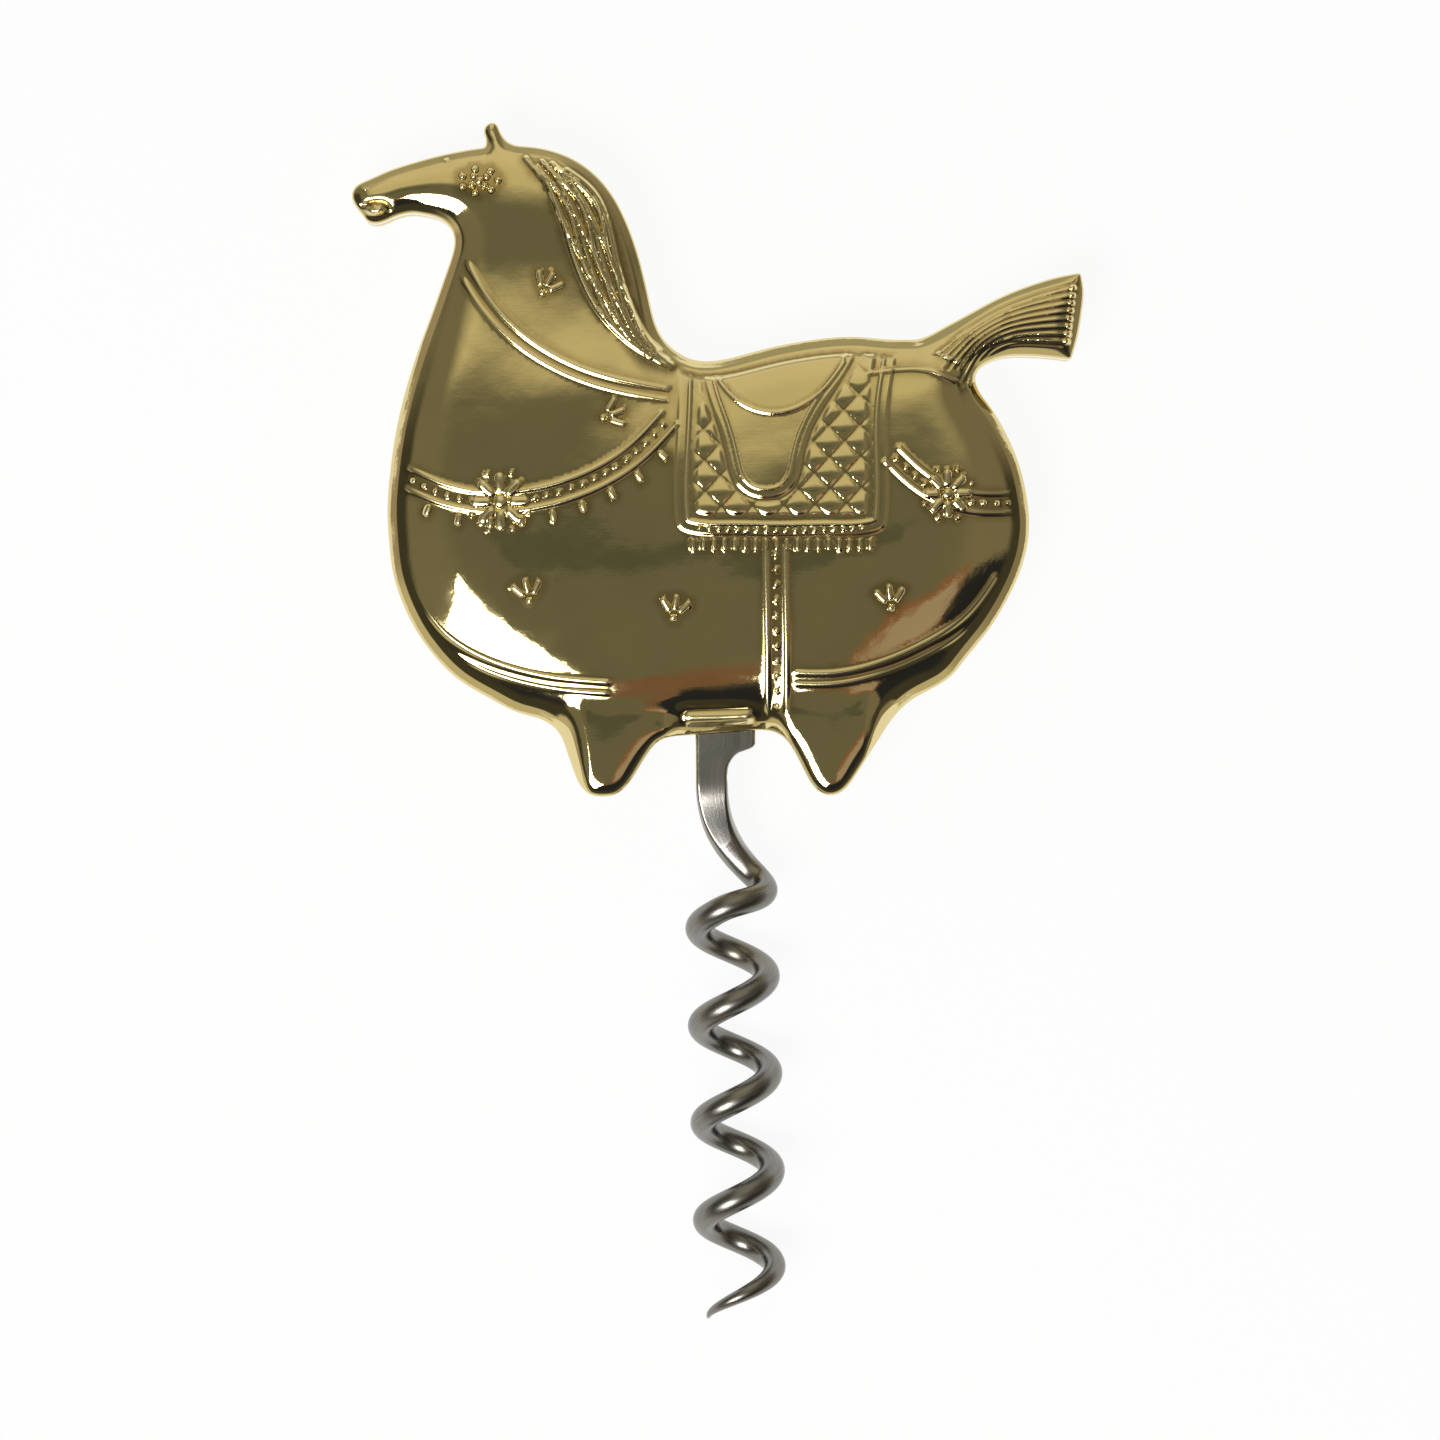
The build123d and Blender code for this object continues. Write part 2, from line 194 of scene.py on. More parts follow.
def soften_loop(points, reach):
    """A closed loop of points with its corners rounded by a short running average."""
    window = round(2 * reach / edge_spacing)
    weights = np.hanning(2 * window + 3)[1:-1]
    weights /= weights.sum()
    shifts = range(-window, window + 1)
    return sum(weight * np.roll(points, shift, axis=0) for weight, shift in zip(weights, shifts))


outline = soften_loop(np.concatenate([smooth_path(horse_points(shares), edge_spacing)[:-1]
                                      for shares in outline_stretches]), corner_softness)


def inward_directions(points):
    """Unit vectors into the horse at each point of its outline."""
    along = np.roll(points, -1, axis=0) - np.roll(points, 1, axis=0)
    inward = np.stack((-along[:, 1], along[:, 0]), axis=1)
    return inward / np.linalg.norm(inward, axis=1)[:, None]


def outline_rooms(points, inward):
    """The radius of the largest inner circle that touches the outline at each of its points."""
    chords = points[None, :, :] - points[:, None, :]
    lengths = np.linalg.norm(chords, axis=2)
    depths = np.einsum("ijk,ik->ij", chords, inward)
    usable = (depths > 0) & (lengths > room_skip)
    radii = np.where(usable, lengths ** 2 / (2 * np.where(usable, depths, 1)), horse_length)
    return radii.min(axis=1)


inward = inward_directions(outline)
rooms = soften_loop(outline_rooms(outline, inward)[:, None], corner_softness)[:, 0]


def inset_loop(inset):
    """The outline moved inward, by less where the horse is narrow."""
    if inset == 0:
        return outline
    limits = room_use_share * rooms
    depths = (inset ** -room_blend_power + limits ** -room_blend_power) ** (-1 / room_blend_power)
    return outline + inward * depths[:, None]


def edge_distance(places, loop):
    """A smooth distance to the loop: exact beside a straight edge, with no crease in the middle.

    It comes from the sum over the loop of one over the distance cubed, worked out exactly for
    each straight piece of the loop.
    """
    ends = np.roll(loop, -1, axis=0)
    lengths = np.linalg.norm(ends - loop, axis=1)
    directions = (ends - loop) / lengths[:, None]
    totals = []
    for chunk in np.array_split(places, max(1, len(places) // places_at_once)):
        offset_x = chunk[:, 0:1] - loop[None, :, 0]
        offset_y = chunk[:, 1:2] - loop[None, :, 1]
        along = offset_x * directions[:, 0] + offset_y * directions[:, 1]
        across = offset_x * directions[:, 1] - offset_y * directions[:, 0]
        across_squared = np.maximum(across ** 2, nearly_zero)
        start_distance = np.sqrt(along ** 2 + across_squared)
        end_distance = np.sqrt((lengths - along) ** 2 + across_squared)
        pieces = (along / start_distance + (lengths - along) / end_distance) / across_squared
        totals.append(pieces.sum(axis=1))
    return np.sqrt(2 / np.concatenate(totals))


def smooth_rise(value, low, high):
    """0 below low, 1 above high, and smooth in between."""
    share = np.clip((value - low) / (high - low), 0, 1)
    return share * share * (3 - 2 * share)


def exponential_rise(distance, dome):
    """A rise that is steepest at the edge, from pairs of a height and a reach."""
    return sum(height * (1 - np.exp(-distance / reach)) for height, reach in dome)


def shoulder_rise(distance):
    """The sloping band inside the rounded edge."""
    share = distance / shoulder_width
    blend = np.clip(0.5 + 0.5 * (1 - share) / shoulder_softness, 0, 1)
    share = share * blend + (1 - blend) - shoulder_softness * blend * (1 - blend)
    return shoulder_height * np.maximum(share, 0) ** shoulder_power


def front_rise(places, distance):
    """How far the front has risen above its rounded edge."""
    x, y = places.T
    legs = smooth_rise(-y, *leg_rows) * (1 - smooth_rise(np.abs(x), *leg_outer))
    legs *= smooth_rise(np.abs(x), *leg_inner)
    rise = (1 - legs) * exponential_rise(distance, front_dome)
    rise += legs * (exponential_rise(distance, leg_dome) + leg_lift)
    rise *= 1 - (1 - head_dome_share) * smooth_rise(y, *head_rows)
    drop = crown_drop * (1 - 1 / (1 + ((y - crown_middle) / crown_reach) ** 2))
    rise -= drop * smooth_rise(distance, *crown_fade)
    dip = smooth_rise(-y, *slot_dip_rows)
    dip = dip * (1 - smooth_rise(np.abs(x - slot_dip_middle), *slot_dip_sides))
    rise -= slot_dip * dip * smooth_rise(distance, *slot_dip_fade)
    return rise + shoulder_rise(distance) * (1 - (1 - leg_shoulder_share) * legs)


def back_rise(places, distance):
    """How far the back has risen above its rounded edge."""
    return exponential_rise(distance, back_dome) + shoulder_rise(distance)


screw_places = horse_points(screw_place_shares)
hole_turns = 2 * math.pi * np.arange(hole_points) / hole_points
hole_circle = np.column_stack((np.cos(hole_turns), np.sin(hole_turns)))


def hex_grid(low, high, spacing):
    """Points in staggered rows that fill a rectangle."""
    row_step = spacing * math.sqrt(3) / 2
    rows = []
    for row, y in enumerate(np.arange(low[1], high[1], row_step)):
        x = np.arange(low[0] + (row % 2) * spacing / 2, high[0], spacing)
        rows.append(np.stack((x, np.full_like(x, y)), axis=1))
    return np.concatenate(rows)


def clear_of(points, others, distance):
    """The points that lie at least that far from all the others."""
    tree = kdtree.KDTree(len(others))
    for index, (x, y) in enumerate(others):
        tree.insert((x, y, 0), index)
    tree.balance()
    kept = [tree.find((x, y, 0))[2] > distance for x, y in points]
    return points[np.array(kept)]


def fill_loop(loop, inner_points):
    """Triangles inside a closed loop, with the inner points as corners too.

    Returns the corners' places, the triangles and, for each point of the loop, its corner.
    """
    count = len(loop)
    flat = [Vector(point) for point in np.concatenate((loop, inner_points))]
    made = delaunay_2d_cdt(flat, [], [list(range(count))], inside_only, nearly_zero)
    corners, _, faces, sources = made[:4]
    corner_of = {}
    for corner, numbers in enumerate(sources):
        for number in numbers:
            corner_of[number] = corner
    return np.array([tuple(corner) for corner in corners]), faces, [corner_of[i] for i in range(count)]


def ring_faces(lower, upper):
    """The four-sided faces between two rings of corner numbers."""
    count = len(lower)
    steps = [(index, (index + 1) % count) for index in range(count)]
    return [(lower[index], lower[after], upper[after], upper[index]) for index, after in steps]


def make_mesh_object(name, vertices, faces, material, values=None):
    """An object of the one rigid body, from vertices in millimetres.

    The values are numbers or vectors for each vertex, by the name that the material reads.
    """
    mesh = bpy.data.meshes.new(name)
    mesh.from_pydata((np.asarray(vertices) * millimetre).tolist(), [], faces)
    mesh.validate()
    mesh.polygons.foreach_set("use_smooth", [True] * len(mesh.polygons))
    mesh.set_sharp_from_angle(angle=sharp_angle)
    mesh.materials.append(material)
    for value_name, numbers in (values or {}).items():
        kind = "FLOAT" if numbers.ndim == 1 else "FLOAT_VECTOR"
        field = mesh.attributes.new(value_name, kind, "POINT")
        field.data.foreach_set("value" if numbers.ndim == 1 else "vector", numbers.ravel())
    made = bpy.data.objects.new(name, mesh)
    bpy.context.scene.collection.objects.link(made)
    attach(made, "root")
    return made


def slow_waves(places):
    """The slight unevenness that hand polishing leaves."""
    x, y = places.T
    waves = sum(np.sin(across * x + up * y + start) for across, up, start in polish_waves)
    return polish_wave_height * waves


def settle_back(places, heights):
    """The back's dome cut to its resting flat, and flat around each screw."""
    blend = np.clip(0.5 - 0.5 * heights / flat_blend, 0, 1)
    heights = heights * (1 - blend) + flat_blend * blend * (1 - blend)
    to_screw = np.min([np.linalg.norm(places - place, axis=1) for place in screw_places], axis=0)
    return heights * smooth_rise(to_screw, hole_flat_radius, hole_blend_radius)


def add_holes(vertices, faces, corners, first_corner):
    """The countersinks in the back, each closed at its end."""
    total = sum(len(part) for part in vertices)
    for place in screw_places:
        rim = place + hole_circle * hole_rings[0][0]
        ring = [first_corner + int(np.argmin(np.linalg.norm(corners - point, axis=1))) for point in rim]
        for radius, depth in hole_rings[1:]:
            heights = np.full(hole_points, depth)
            vertices.append(np.column_stack((place + hole_circle * radius, heights)))
            following = list(range(total, total + hole_points))
            total += hole_points
            faces.extend(ring_faces(following, ring))
            ring = following
        faces.append(tuple(reversed(ring)))


def edge_rings(side, rise_of, relief):
    """The loops from the seam over the rounded edge: their vertices and the heights of the relief."""
    turns = [math.radians(90 * step / rim_turns) for step in range(rim_turns + 1)]
    insets = [seam_bevel, 0.0] + [rim_radius * (1 - math.cos(turn)) for turn in turns]
    insets += shoulder_insets[:-1]
    rises = [0.0, seam_bevel] + [side_band + rim_radius * math.sin(turn) for turn in turns]
    rises += [rim_top] * (len(shoulder_insets) - 1)
    vertices = []
    reliefs = []
    for inset, rise in zip(insets, rises):
        loop = inset_loop(inset)
        lift = np.zeros(len(loop))
        raised = np.zeros(len(loop))
        if rise > side_band:
            field = edge_distance(loop, outline)
            raised = relief(loop, field)
            lift = rise_of(loop, field)
        reliefs.append(raised)
        vertices.append(np.column_stack((loop, parting + side * (rise + lift + raised))))
    return vertices, reliefs


def half_shell(side, rise_of, relief, extra_points):
    """One half: its vertices, its faces and, for each vertex, the height of its relief.

    The side is 1 for the front and -1 for the back, which has the screws' holes.
    """
    vertices, reliefs = edge_rings(side, rise_of, relief)
    first_corner = len(vertices) * len(outline)
    inner_loop = inset_loop(shoulder_insets[-1])
    if side < 0:
        circles = [place + hole_circle * hole_rings[0][0] for place in screw_places]
        extra_points = np.concatenate([extra_points] + circles)
    grid = hex_grid(inner_loop.min(axis=0), inner_loop.max(axis=0), grid_spacing)
    grid = clear_of(grid, np.concatenate((inner_loop, extra_points)), grid_clearance)
    corners, triangles, ring_corners = fill_loop(inner_loop, np.concatenate((extra_points, grid)))
    field = edge_distance(corners, outline[::coarse_step])
    raised = relief(corners, field)
    heights = parting + side * (rim_top + rise_of(corners, field) + raised)
    if side < 0:
        heights = settle_back(corners, heights)
    else:
        heights += slow_waves(corners) * smooth_rise(field, *polish_wave_fade)
    numbers = np.arange(first_corner).reshape(-1, len(outline)).tolist()
    numbers.append([first_corner + corner for corner in ring_corners])
    reliefs.append(raised)
    vertices.append(np.column_stack((corners, heights)))
    faces = []
    for lower, upper in zip(numbers[:-1], numbers[1:]):
        faces.extend(ring_faces(lower, upper))
    centres = corners[np.array(triangles)].mean(axis=1)
    kept = np.ones(len(centres), dtype=bool)
    if side < 0:
        for place in screw_places:
            kept &= np.linalg.norm(centres - place, axis=1) > hole_rings[0][0]
    faces.extend(tuple(first_corner + corner for corner in triangle)
                 for triangle, keep in zip(triangles, kept) if keep)
    _, cap, cap_corners = fill_loop(vertices[0][:, :2], np.zeros((0, 2)))
    ring_of = {corner: index for index, corner in enumerate(cap_corners)}
    faces.extend(tuple(ring_of[corner] for corner in reversed(triangle)) for triangle in cap)
    if side < 0:
        add_holes(vertices, faces, corners, first_corner)
        faces = [tuple(reversed(face)) for face in faces]
    vertices = np.concatenate(vertices)
    reliefs = np.concatenate(reliefs)
    return vertices, faces, np.pad(reliefs, (0, len(vertices) - len(reliefs)))


def hollows(faces, heights, rounds, scale):
    """How far each vertex lies below (up to 1) or above (to -1) the mean of those around it."""
    pairs = np.array([(face[index - 1], face[index]) for face in faces for index in range(len(face))])
    counts = np.bincount(pairs.ravel(), minlength=len(heights))
    smoothed = heights.copy()
    for _ in range(rounds):
        sums = np.bincount(pairs[:, 0], smoothed[pairs[:, 1]], len(heights))
        sums += np.bincount(pairs[:, 1], smoothed[pairs[:, 0]], len(heights))
        smoothed = sums / np.maximum(counts, 1)
    return np.clip((smoothed - heights) / scale, -1, 1)


def no_relief(places, field):
    """The back is plain."""
    return np.zeros(len(places))


def closed(loop):
    """A loop's points with the first one again at the end."""
    return np.concatenate((loop, loop[:1]))


def inside_loop(places, loop):
    """Whether each place lies inside a closed loop."""
    ends = np.roll(loop, -1, axis=0)
    found = np.zeros(len(places), dtype=bool)
    for (start_x, start_y), (end_x, end_y) in zip(loop, ends):
        if start_y == end_y:
            continue
        crosses = (places[:, 1] < start_y) != (places[:, 1] < end_y)
        meet_x = start_x + (places[:, 1] - start_y) * (end_x - start_x) / (end_y - start_y)
        found ^= crosses & (places[:, 0] < meet_x)
    return found


def path_distance(places, path):
    """How far each place lies from a path of straight pieces."""
    best = np.full(len(places), np.inf)
    for start, end in zip(path[:-1], path[1:]):
        piece = end - start
        share = np.clip((places - start) @ piece / max(piece @ piece, nearly_zero ** 2), 0, 1)
        best = np.minimum(best, np.linalg.norm(places - start - share[:, None] * piece, axis=1))
    return best


def path_sides(path):
    """Unit vectors to the left of a path at each of its points."""
    along = np.gradient(path, axis=0)
    sides = np.stack((-along[:, 1], along[:, 0]), axis=1)
    return sides / np.linalg.norm(sides, axis=1)[:, None]


def closed_sides(loop):
    """Unit vectors to the left of a closed loop at each of its points."""
    return path_sides(closed(loop))[:-1]


def box_around(places, points, margin):
    """The numbers of the places in the box around some points, widened by the margin."""
    low = points.min(axis=0) - margin
    high = points.max(axis=0) + margin
    return np.flatnonzero(((places > low) & (places < high)).all(axis=1))


class Relief:
    """The raised work on the front: lines, beads, grains, plates and quilting."""

    # Where the mesh gets corners, as shares of a line's half width and of a bead's radius
    row_shares = (-1.15, -0.75, -0.38, 0.0, 0.38, 0.75, 1.15)
    ring_shares = (0.3, 0.55, 0.75, 0.9, 1.0, 1.15)
    turned_share = 0.6       # larger rings are turned by half a step
    row_spacing = 0.26
    ring_spacing = 0.13
    fewest_in_ring = 8
    closest = 0.085          # corners nearer than this become one
    plate_edge = 0.3
    plate_rows = (-0.36, -0.24, -0.12, 0.0, 0.12, 0.24, 0.36)
    quilt_spacing = 0.17
    quilt_softness = 0.01
    quilt_fade = (0.3, 0.9)

    def __init__(self, edge_fade):
        self.edge_fade = edge_fade
        self.lines = []
        self.grains = []
        self.plates = []
        self.quilts = []
        self.points = []

    def line(self, path, half_width, height):
        """A raised line, or a groove where the height is negative."""
        self.lines.append((path, half_width, height))
        sides = path_sides(path)
        for share in self.row_shares:
            self.points.append(path + sides * half_width * share)

    def grain(self, start, end, radius, height):
        """A rounded grain between two places, or a bead where they are the same."""
        start = np.asarray(start, dtype=float)
        end = np.asarray(end, dtype=float)
        self.grains.append((start, end, radius, height))
        length = np.linalg.norm(end - start)
        direction = (end - start) / length if length > 0 else np.array([1.0, 0.0])
        across = np.array([-direction[1], direction[0]])
        middle = np.linspace(start, end, max(1, round(length / self.row_spacing) + 1))
        self.points.append(middle)
        for share in self.ring_shares:
            count = max(self.fewest_in_ring, round(2 * math.pi * share * radius / self.ring_spacing))
            for index in range(count):
                angle = 2 * math.pi * (index + 0.5 * (share > self.turned_share)) / count
                out = radius * share * (math.cos(angle) * direction + math.sin(angle) * across)
                self.points.append(((end if math.cos(angle) >= 0 else start) + out)[None, :])
            if length > self.row_spacing:
                inner = middle[1:-1]
                self.points.append(inner + across * radius * share)
                self.points.append(inner - across * radius * share)

    def bead(self, place, radius, height):
        """A round bead."""
        self.grain(place, place, radius, height)

    def beads_along(self, path, spacing, radius, height, margin=0.5):
        """Beads at even distances along a path."""
        travelled = travel_along(path)
        length = travelled[-1]
        count = max(1, int((length - 2 * margin) / spacing) + 1)
        start = (length - (count - 1) * spacing) / 2
        for index in range(count):
            at = start + index * spacing
            self.bead([np.interp(at, travelled, path[:, axis]) for axis in (0, 1)], radius, height)

    def plate(self, loop, height):
        """A flat raised patch inside a closed loop."""
        self.plates.append((loop, height))
        sides = closed_sides(loop)
        for offset in self.plate_rows:
            self.points.append(loop + sides * offset)

    def quilt(self, loop, hole, pitch, height):
        """A field of small cushions inside a loop and around a hole in it."""
        self.quilts.append((loop, hole, pitch, height))
        grid = hex_grid(loop.min(axis=0), loop.max(axis=0), self.quilt_spacing)
        self.points.append(grid[inside_loop(grid, loop)])

    def plate_heights(self, places):
        """How far the plates and the quilting stand out at each place."""
        base = np.zeros(len(places))
        for loop, height in self.plates:
            near = box_around(places, loop, self.plate_edge)
            distance = path_distance(places[near], closed(loop))
            signed = np.where(inside_loop(places[near], loop), distance, -distance)
            base[near] += height * smooth_rise(signed, -self.plate_edge, self.plate_edge)
        for loop, hole, pitch, height in self.quilts:
            near = np.flatnonzero(inside_loop(places, loop))
            here = places[near]
            u = (here[:, 0] + here[:, 1]) / pitch * math.pi
            v = (here[:, 0] - here[:, 1]) / pitch * math.pi
            cushion = np.sqrt(np.abs(np.sin(u) * np.sin(v)) + self.quilt_softness)
            cushion -= math.sqrt(self.quilt_softness)
            room = np.where(inside_loop(here, hole), 0, path_distance(here, closed(hole)))
            room = np.minimum(room, path_distance(here, closed(loop)))
            base[near] += height * cushion * smooth_rise(room, *self.quilt_fade)
        return base

    def heights(self, places, field):
        """How far the relief stands out at each place."""
        raised = np.zeros(len(places))
        sunk = np.zeros(len(places))
        for path, half_width, height in self.lines:
            near = box_around(places, path, half_width)
            share = np.clip(path_distance(places[near], path) / half_width, 0, 1)
            profile = height * (1 - share ** 2) ** 2
            if height > 0:
                raised[near] = np.maximum(raised[near], profile)
            else:
                sunk[near] = np.minimum(sunk[near], profile)
        for start, end, radius, height in self.grains:
            ends = np.array([start, end])
            near = box_around(places, ends, radius)
            share = np.clip(path_distance(places[near], ends) / radius, 0, 1)
            raised[near] = np.maximum(raised[near], height * np.sqrt(1 - share ** 2))
        base = self.plate_heights(places)
        return (base + raised + sunk) * smooth_rise(field, *self.edge_fade)


# Mane and tail: hair in strands between two lines
mane_front_shares = [(0.239, 0.945), (0.268, 0.900), (0.292, 0.835), (0.318, 0.768), (0.346, 0.712),
                     (0.384, 0.668), (0.428, 0.640)]
mane_back_shares = [(0.282, 0.935), (0.325, 0.896), (0.352, 0.835), (0.371, 0.768), (0.387, 0.712),
                    (0.407, 0.672), (0.440, 0.641)]
mane_strands = 10
strand_points = 130
strand_starts = (0, 5, 10, 15)           # how many points are left out at the ends of a strand
strand_trims = (0, 8, 16, 4, 12)
strand_sway_share = 0.07
strand_turns = 2.5                       # half turns of the first strand's sway
strand_phase = 2.1
strand_line = (0.42, 0.27)               # here and below: a line's half width and height
strand_line_steps = (0.06, 0.05)
tail_top_line_shares = [(0.792, 0.655), (0.830, 0.688), (0.880, 0.722), (0.930, 0.744), (0.984, 0.760)]
tail_low_line_shares = [(0.846, 0.598), (0.862, 0.645), (0.890, 0.667), (0.930, 0.671), (0.974, 0.668)]
tail_grooves = 9
groove_points = 80
groove_starts = (0, 3, 6)
groove_line = (0.32, -0.12)
tail_bead = (0.34, 0.24)                 # here and below: a bead's or a grain's radius and height

# The head's details
eye_place_share = (0.176, 0.911)
eye_bead = (0.48, 0.42)
eye_rings = ((4, 0.9, 0.62, 0.4), (7, 1.85, 1.2, 0.0))   # count, half width, half height and turn
eye_ring_bead = (0.38, 0.42)
brow_place_share = (0.131, 0.944)
brow_bead = (0.3, 0.2)
nostril_place_share = (0.020, 0.902)
nostril_bead = (0.28, 0.16)
mouth_shares = [(0.006, 0.8745), (0.022, 0.877), (0.038, 0.880), (0.049, 0.8765), (0.052, 0.869)]
mouth_line = (0.42, -0.34)
lower_lip_shares = [(0.014, 0.868), (0.028, 0.8655), (0.040, 0.868)]
lower_lip_line = (0.45, 0.32)

# The lip of the slot
lip_places = ((-3.6, -17.75), (2.05, -17.75))
lip_points = 24
lip_line = (0.95, 0.55)

# Plain tack: saddle, quilted cloth, girth, breast collar, neck strap, crupper and breeching
saddle_loop_shares = [
    (0.470, 0.690), (0.478, 0.640), (0.488, 0.592), (0.503, 0.545), (0.514, 0.500), (0.524, 0.466),
    (0.543, 0.447), (0.566, 0.442), (0.590, 0.449), (0.606, 0.470), (0.614, 0.505), (0.628, 0.550),
    (0.656, 0.600), (0.682, 0.645), (0.694, 0.700), (0.580, 0.712)]
saddle_height = 0.14
saddle_margin = 0.85
saddle_line = (0.26, 0.09)
seat_line_shares = [(0.492, 0.632), (0.522, 0.590), (0.575, 0.568), (0.632, 0.592), (0.670, 0.642)]
seat_line = (0.36, 0.14)
cloth_loop_shares = [
    (0.447, 0.720), (0.447, 0.600), (0.443, 0.500), (0.443, 0.420), (0.449, 0.398), (0.466, 0.390),
    (0.520, 0.387), (0.580, 0.386), (0.650, 0.387), (0.706, 0.390), (0.723, 0.398), (0.729, 0.420),
    (0.730, 0.500), (0.733, 0.600), (0.738, 0.720), (0.600, 0.730)]
cloth_height = 0.13
cloth_hem = 1.1
cloth_hem_line = (0.3, 0.12)
cloth_foot_share = 0.395                 # the cloth's foot is below this
quilt_margin = 0.35
quilt_pitch = 3.1
quilt_height = 0.2
hem_bead = (0.25, 0.16)
hem_bead_rise = 0.55
fringe_spacing = 0.95
fringe_drop = 0.75
fringe_grain = (0.27, 0.17)
girth_bead_spacing = 1.5
girth_shares = [(0.578, 0.366), (0.579, 0.300), (0.580, 0.220), (0.580, 0.128)]
collar_shares = [(0.434, 0.560), (0.385, 0.505), (0.300, 0.455), (0.205, 0.436), (0.130, 0.447),
                 (0.075, 0.474)]
strap_shares = [(0.152, 0.805), (0.190, 0.735), (0.250, 0.672), (0.330, 0.628), (0.432, 0.604)]
strap_lines = ((0.4, 0.17), (0.36, 0.13))
strap_gap = 1.15
breeching_shares = [(0.737, 0.505), (0.785, 0.460), (0.845, 0.436), (0.903, 0.436)]
crupper_shares = [(0.702, 0.640), (0.745, 0.646), (0.790, 0.644), (0.828, 0.628)]
band_half_gap = 0.95
band_bead_spacing = 1.25
band_line = (0.38, 0.15)
band_bead = (0.28, 0.18)
left_border_shares = [(0.060, 0.410), (0.071, 0.345), (0.093, 0.290), (0.136, 0.236), (0.203, 0.197),
                      (0.284, 0.176), (0.350, 0.170)]
right_border_shares = [(0.607, 0.184), (0.655, 0.184), (0.710, 0.196), (0.777, 0.226), (0.837, 0.270),
                       (0.876, 0.325)]
border_lines = ((0.4, 0.16), (0.36, 0.12))
border_gap = 1.1

# Drops under the collar, rosettes and sprigs
drop_steps = (12, 8, 11)                 # path points left out at each end, and from drop to drop
drop_gap = 1.75
drop_length = 0.6
drop_grain = (0.38, 0.28)
collar_rosette_share = (0.205, 0.436)
collar_rosette_radius = 3.0
breeching_rosette_share = (0.812, 0.448)
breeching_rosette_radius = 2.5
rosette_petals = 8
boss_share = 0.24                        # here and below: shares of the rosette's radius
boss_height = 0.34
petal_shares = (0.46, 0.80, 0.18)        # the petal's inner and outer end, and its radius
petal_height = 0.26
gap_bead_shares = (1.02, 0.085)          # how far out the bead lies, and its radius
gap_bead_height = 0.16
sprig_shares = [(0.245, 0.290, 100), (0.440, 0.265, 80), (0.735, 0.280, 95), (0.262, 0.745, 60),
                (0.345, 0.560, 20)]
sprig_turns = (-38, 0, 38)
sprig_reach = (1.0, 2.0)
sprig_grain = (0.38, 0.3)
sprig_bead = (0.4, 0.32)
path_spacing = 0.26
tack_edge_fade = (1.5, 2.2)              # how near the horse's edge the relief fades out
body_edge_fade = (0.35, 0.9)


def mesh_points(reliefs):
    """Places where the mesh needs corners, none too close to another."""
    points = np.concatenate([part for relief in reliefs for part in relief.points])
    cells = np.round(points / Relief.closest).astype(int)
    _, first = np.unique(cells, axis=0, return_index=True)
    points = points[np.sort(first)]
    inner_loop = inset_loop(shoulder_insets[-1])
    points = points[inside_loop(points, inner_loop)]
    return clear_of(points, inner_loop, grid_clearance)


def share_path(shares):
    """A smooth path through places given as shares of the horse's box."""
    return smooth_path(horse_points(shares), path_spacing)


def closed_path(shares):
    """A closed smooth loop through places given as shares, anticlockwise."""
    return share_path(shares + shares[:1])[:-1]


def resampled(path, count):
    """The same path with a given number of points."""
    travelled = travel_along(path)
    where = np.linspace(0, travelled[-1], count)
    return np.column_stack([np.interp(where, travelled, path[:, axis]) for axis in (0, 1)])


def heading(angle):
    """The unit vector at an angle."""
    return np.array([math.cos(angle), math.sin(angle)])


def add_mane(relief):
    """The strands of the mane."""
    front = resampled(share_path(mane_front_shares), strand_points)
    back = resampled(share_path(mane_back_shares), strand_points)
    travel = np.linspace(0, 1, strand_points)
    for strand in range(mane_strands):
        share = strand / (mane_strands - 1)
        turns = strand_turns + strand % 3
        sway = strand_sway_share * np.sin(travel * math.pi * turns + strand * strand_phase)
        path = front + (back - front) * (share + sway)[:, None]
        path = path[strand_starts[strand % 4]:strand_points - strand_trims[strand % 5]]
        half_width = strand_line[0] + strand_line_steps[0] * (strand % 2)
        relief.line(path, half_width, strand_line[1] + strand_line_steps[1] * (strand % 3))


def add_tail(relief):
    """The grooves of the tail, with a bead between each two at its end."""
    top = resampled(share_path(tail_top_line_shares), groove_points)
    low = resampled(share_path(tail_low_line_shares), groove_points)
    for groove in range(tail_grooves):
        path = top + (low - top) * (groove / (tail_grooves - 1))
        relief.line(path[groove_starts[groove % 3]:], *groove_line)
        if groove:
            relief.bead(path[-1] + (top[-1] - low[-1]) * 0.5 / (tail_grooves - 1), *tail_bead)


def add_head(relief):
    """The eye of beads, the nostril and the mouth."""
    eye = np.array(horse_point(*eye_place_share))
    relief.bead(eye, *eye_bead)
    for count, half_width, half_height, turn in eye_rings:
        for index in range(count):
            out = heading(2 * math.pi * (index + turn) / count)
            relief.bead(eye + out * (half_width, half_height), *eye_ring_bead)
    relief.bead(horse_point(*brow_place_share), *brow_bead)
    relief.bead(horse_point(*nostril_place_share), *nostril_bead)
    relief.line(share_path(mouth_shares), *mouth_line)
    relief.line(share_path(lower_lip_shares), *lower_lip_line)


def add_slot_lip(relief):
    """The raised lip of the slot that the worm comes out of."""
    start, end = np.array(lip_places)
    relief.line(start + (end - start) * np.linspace(0, 1, lip_points)[:, None], *lip_line)


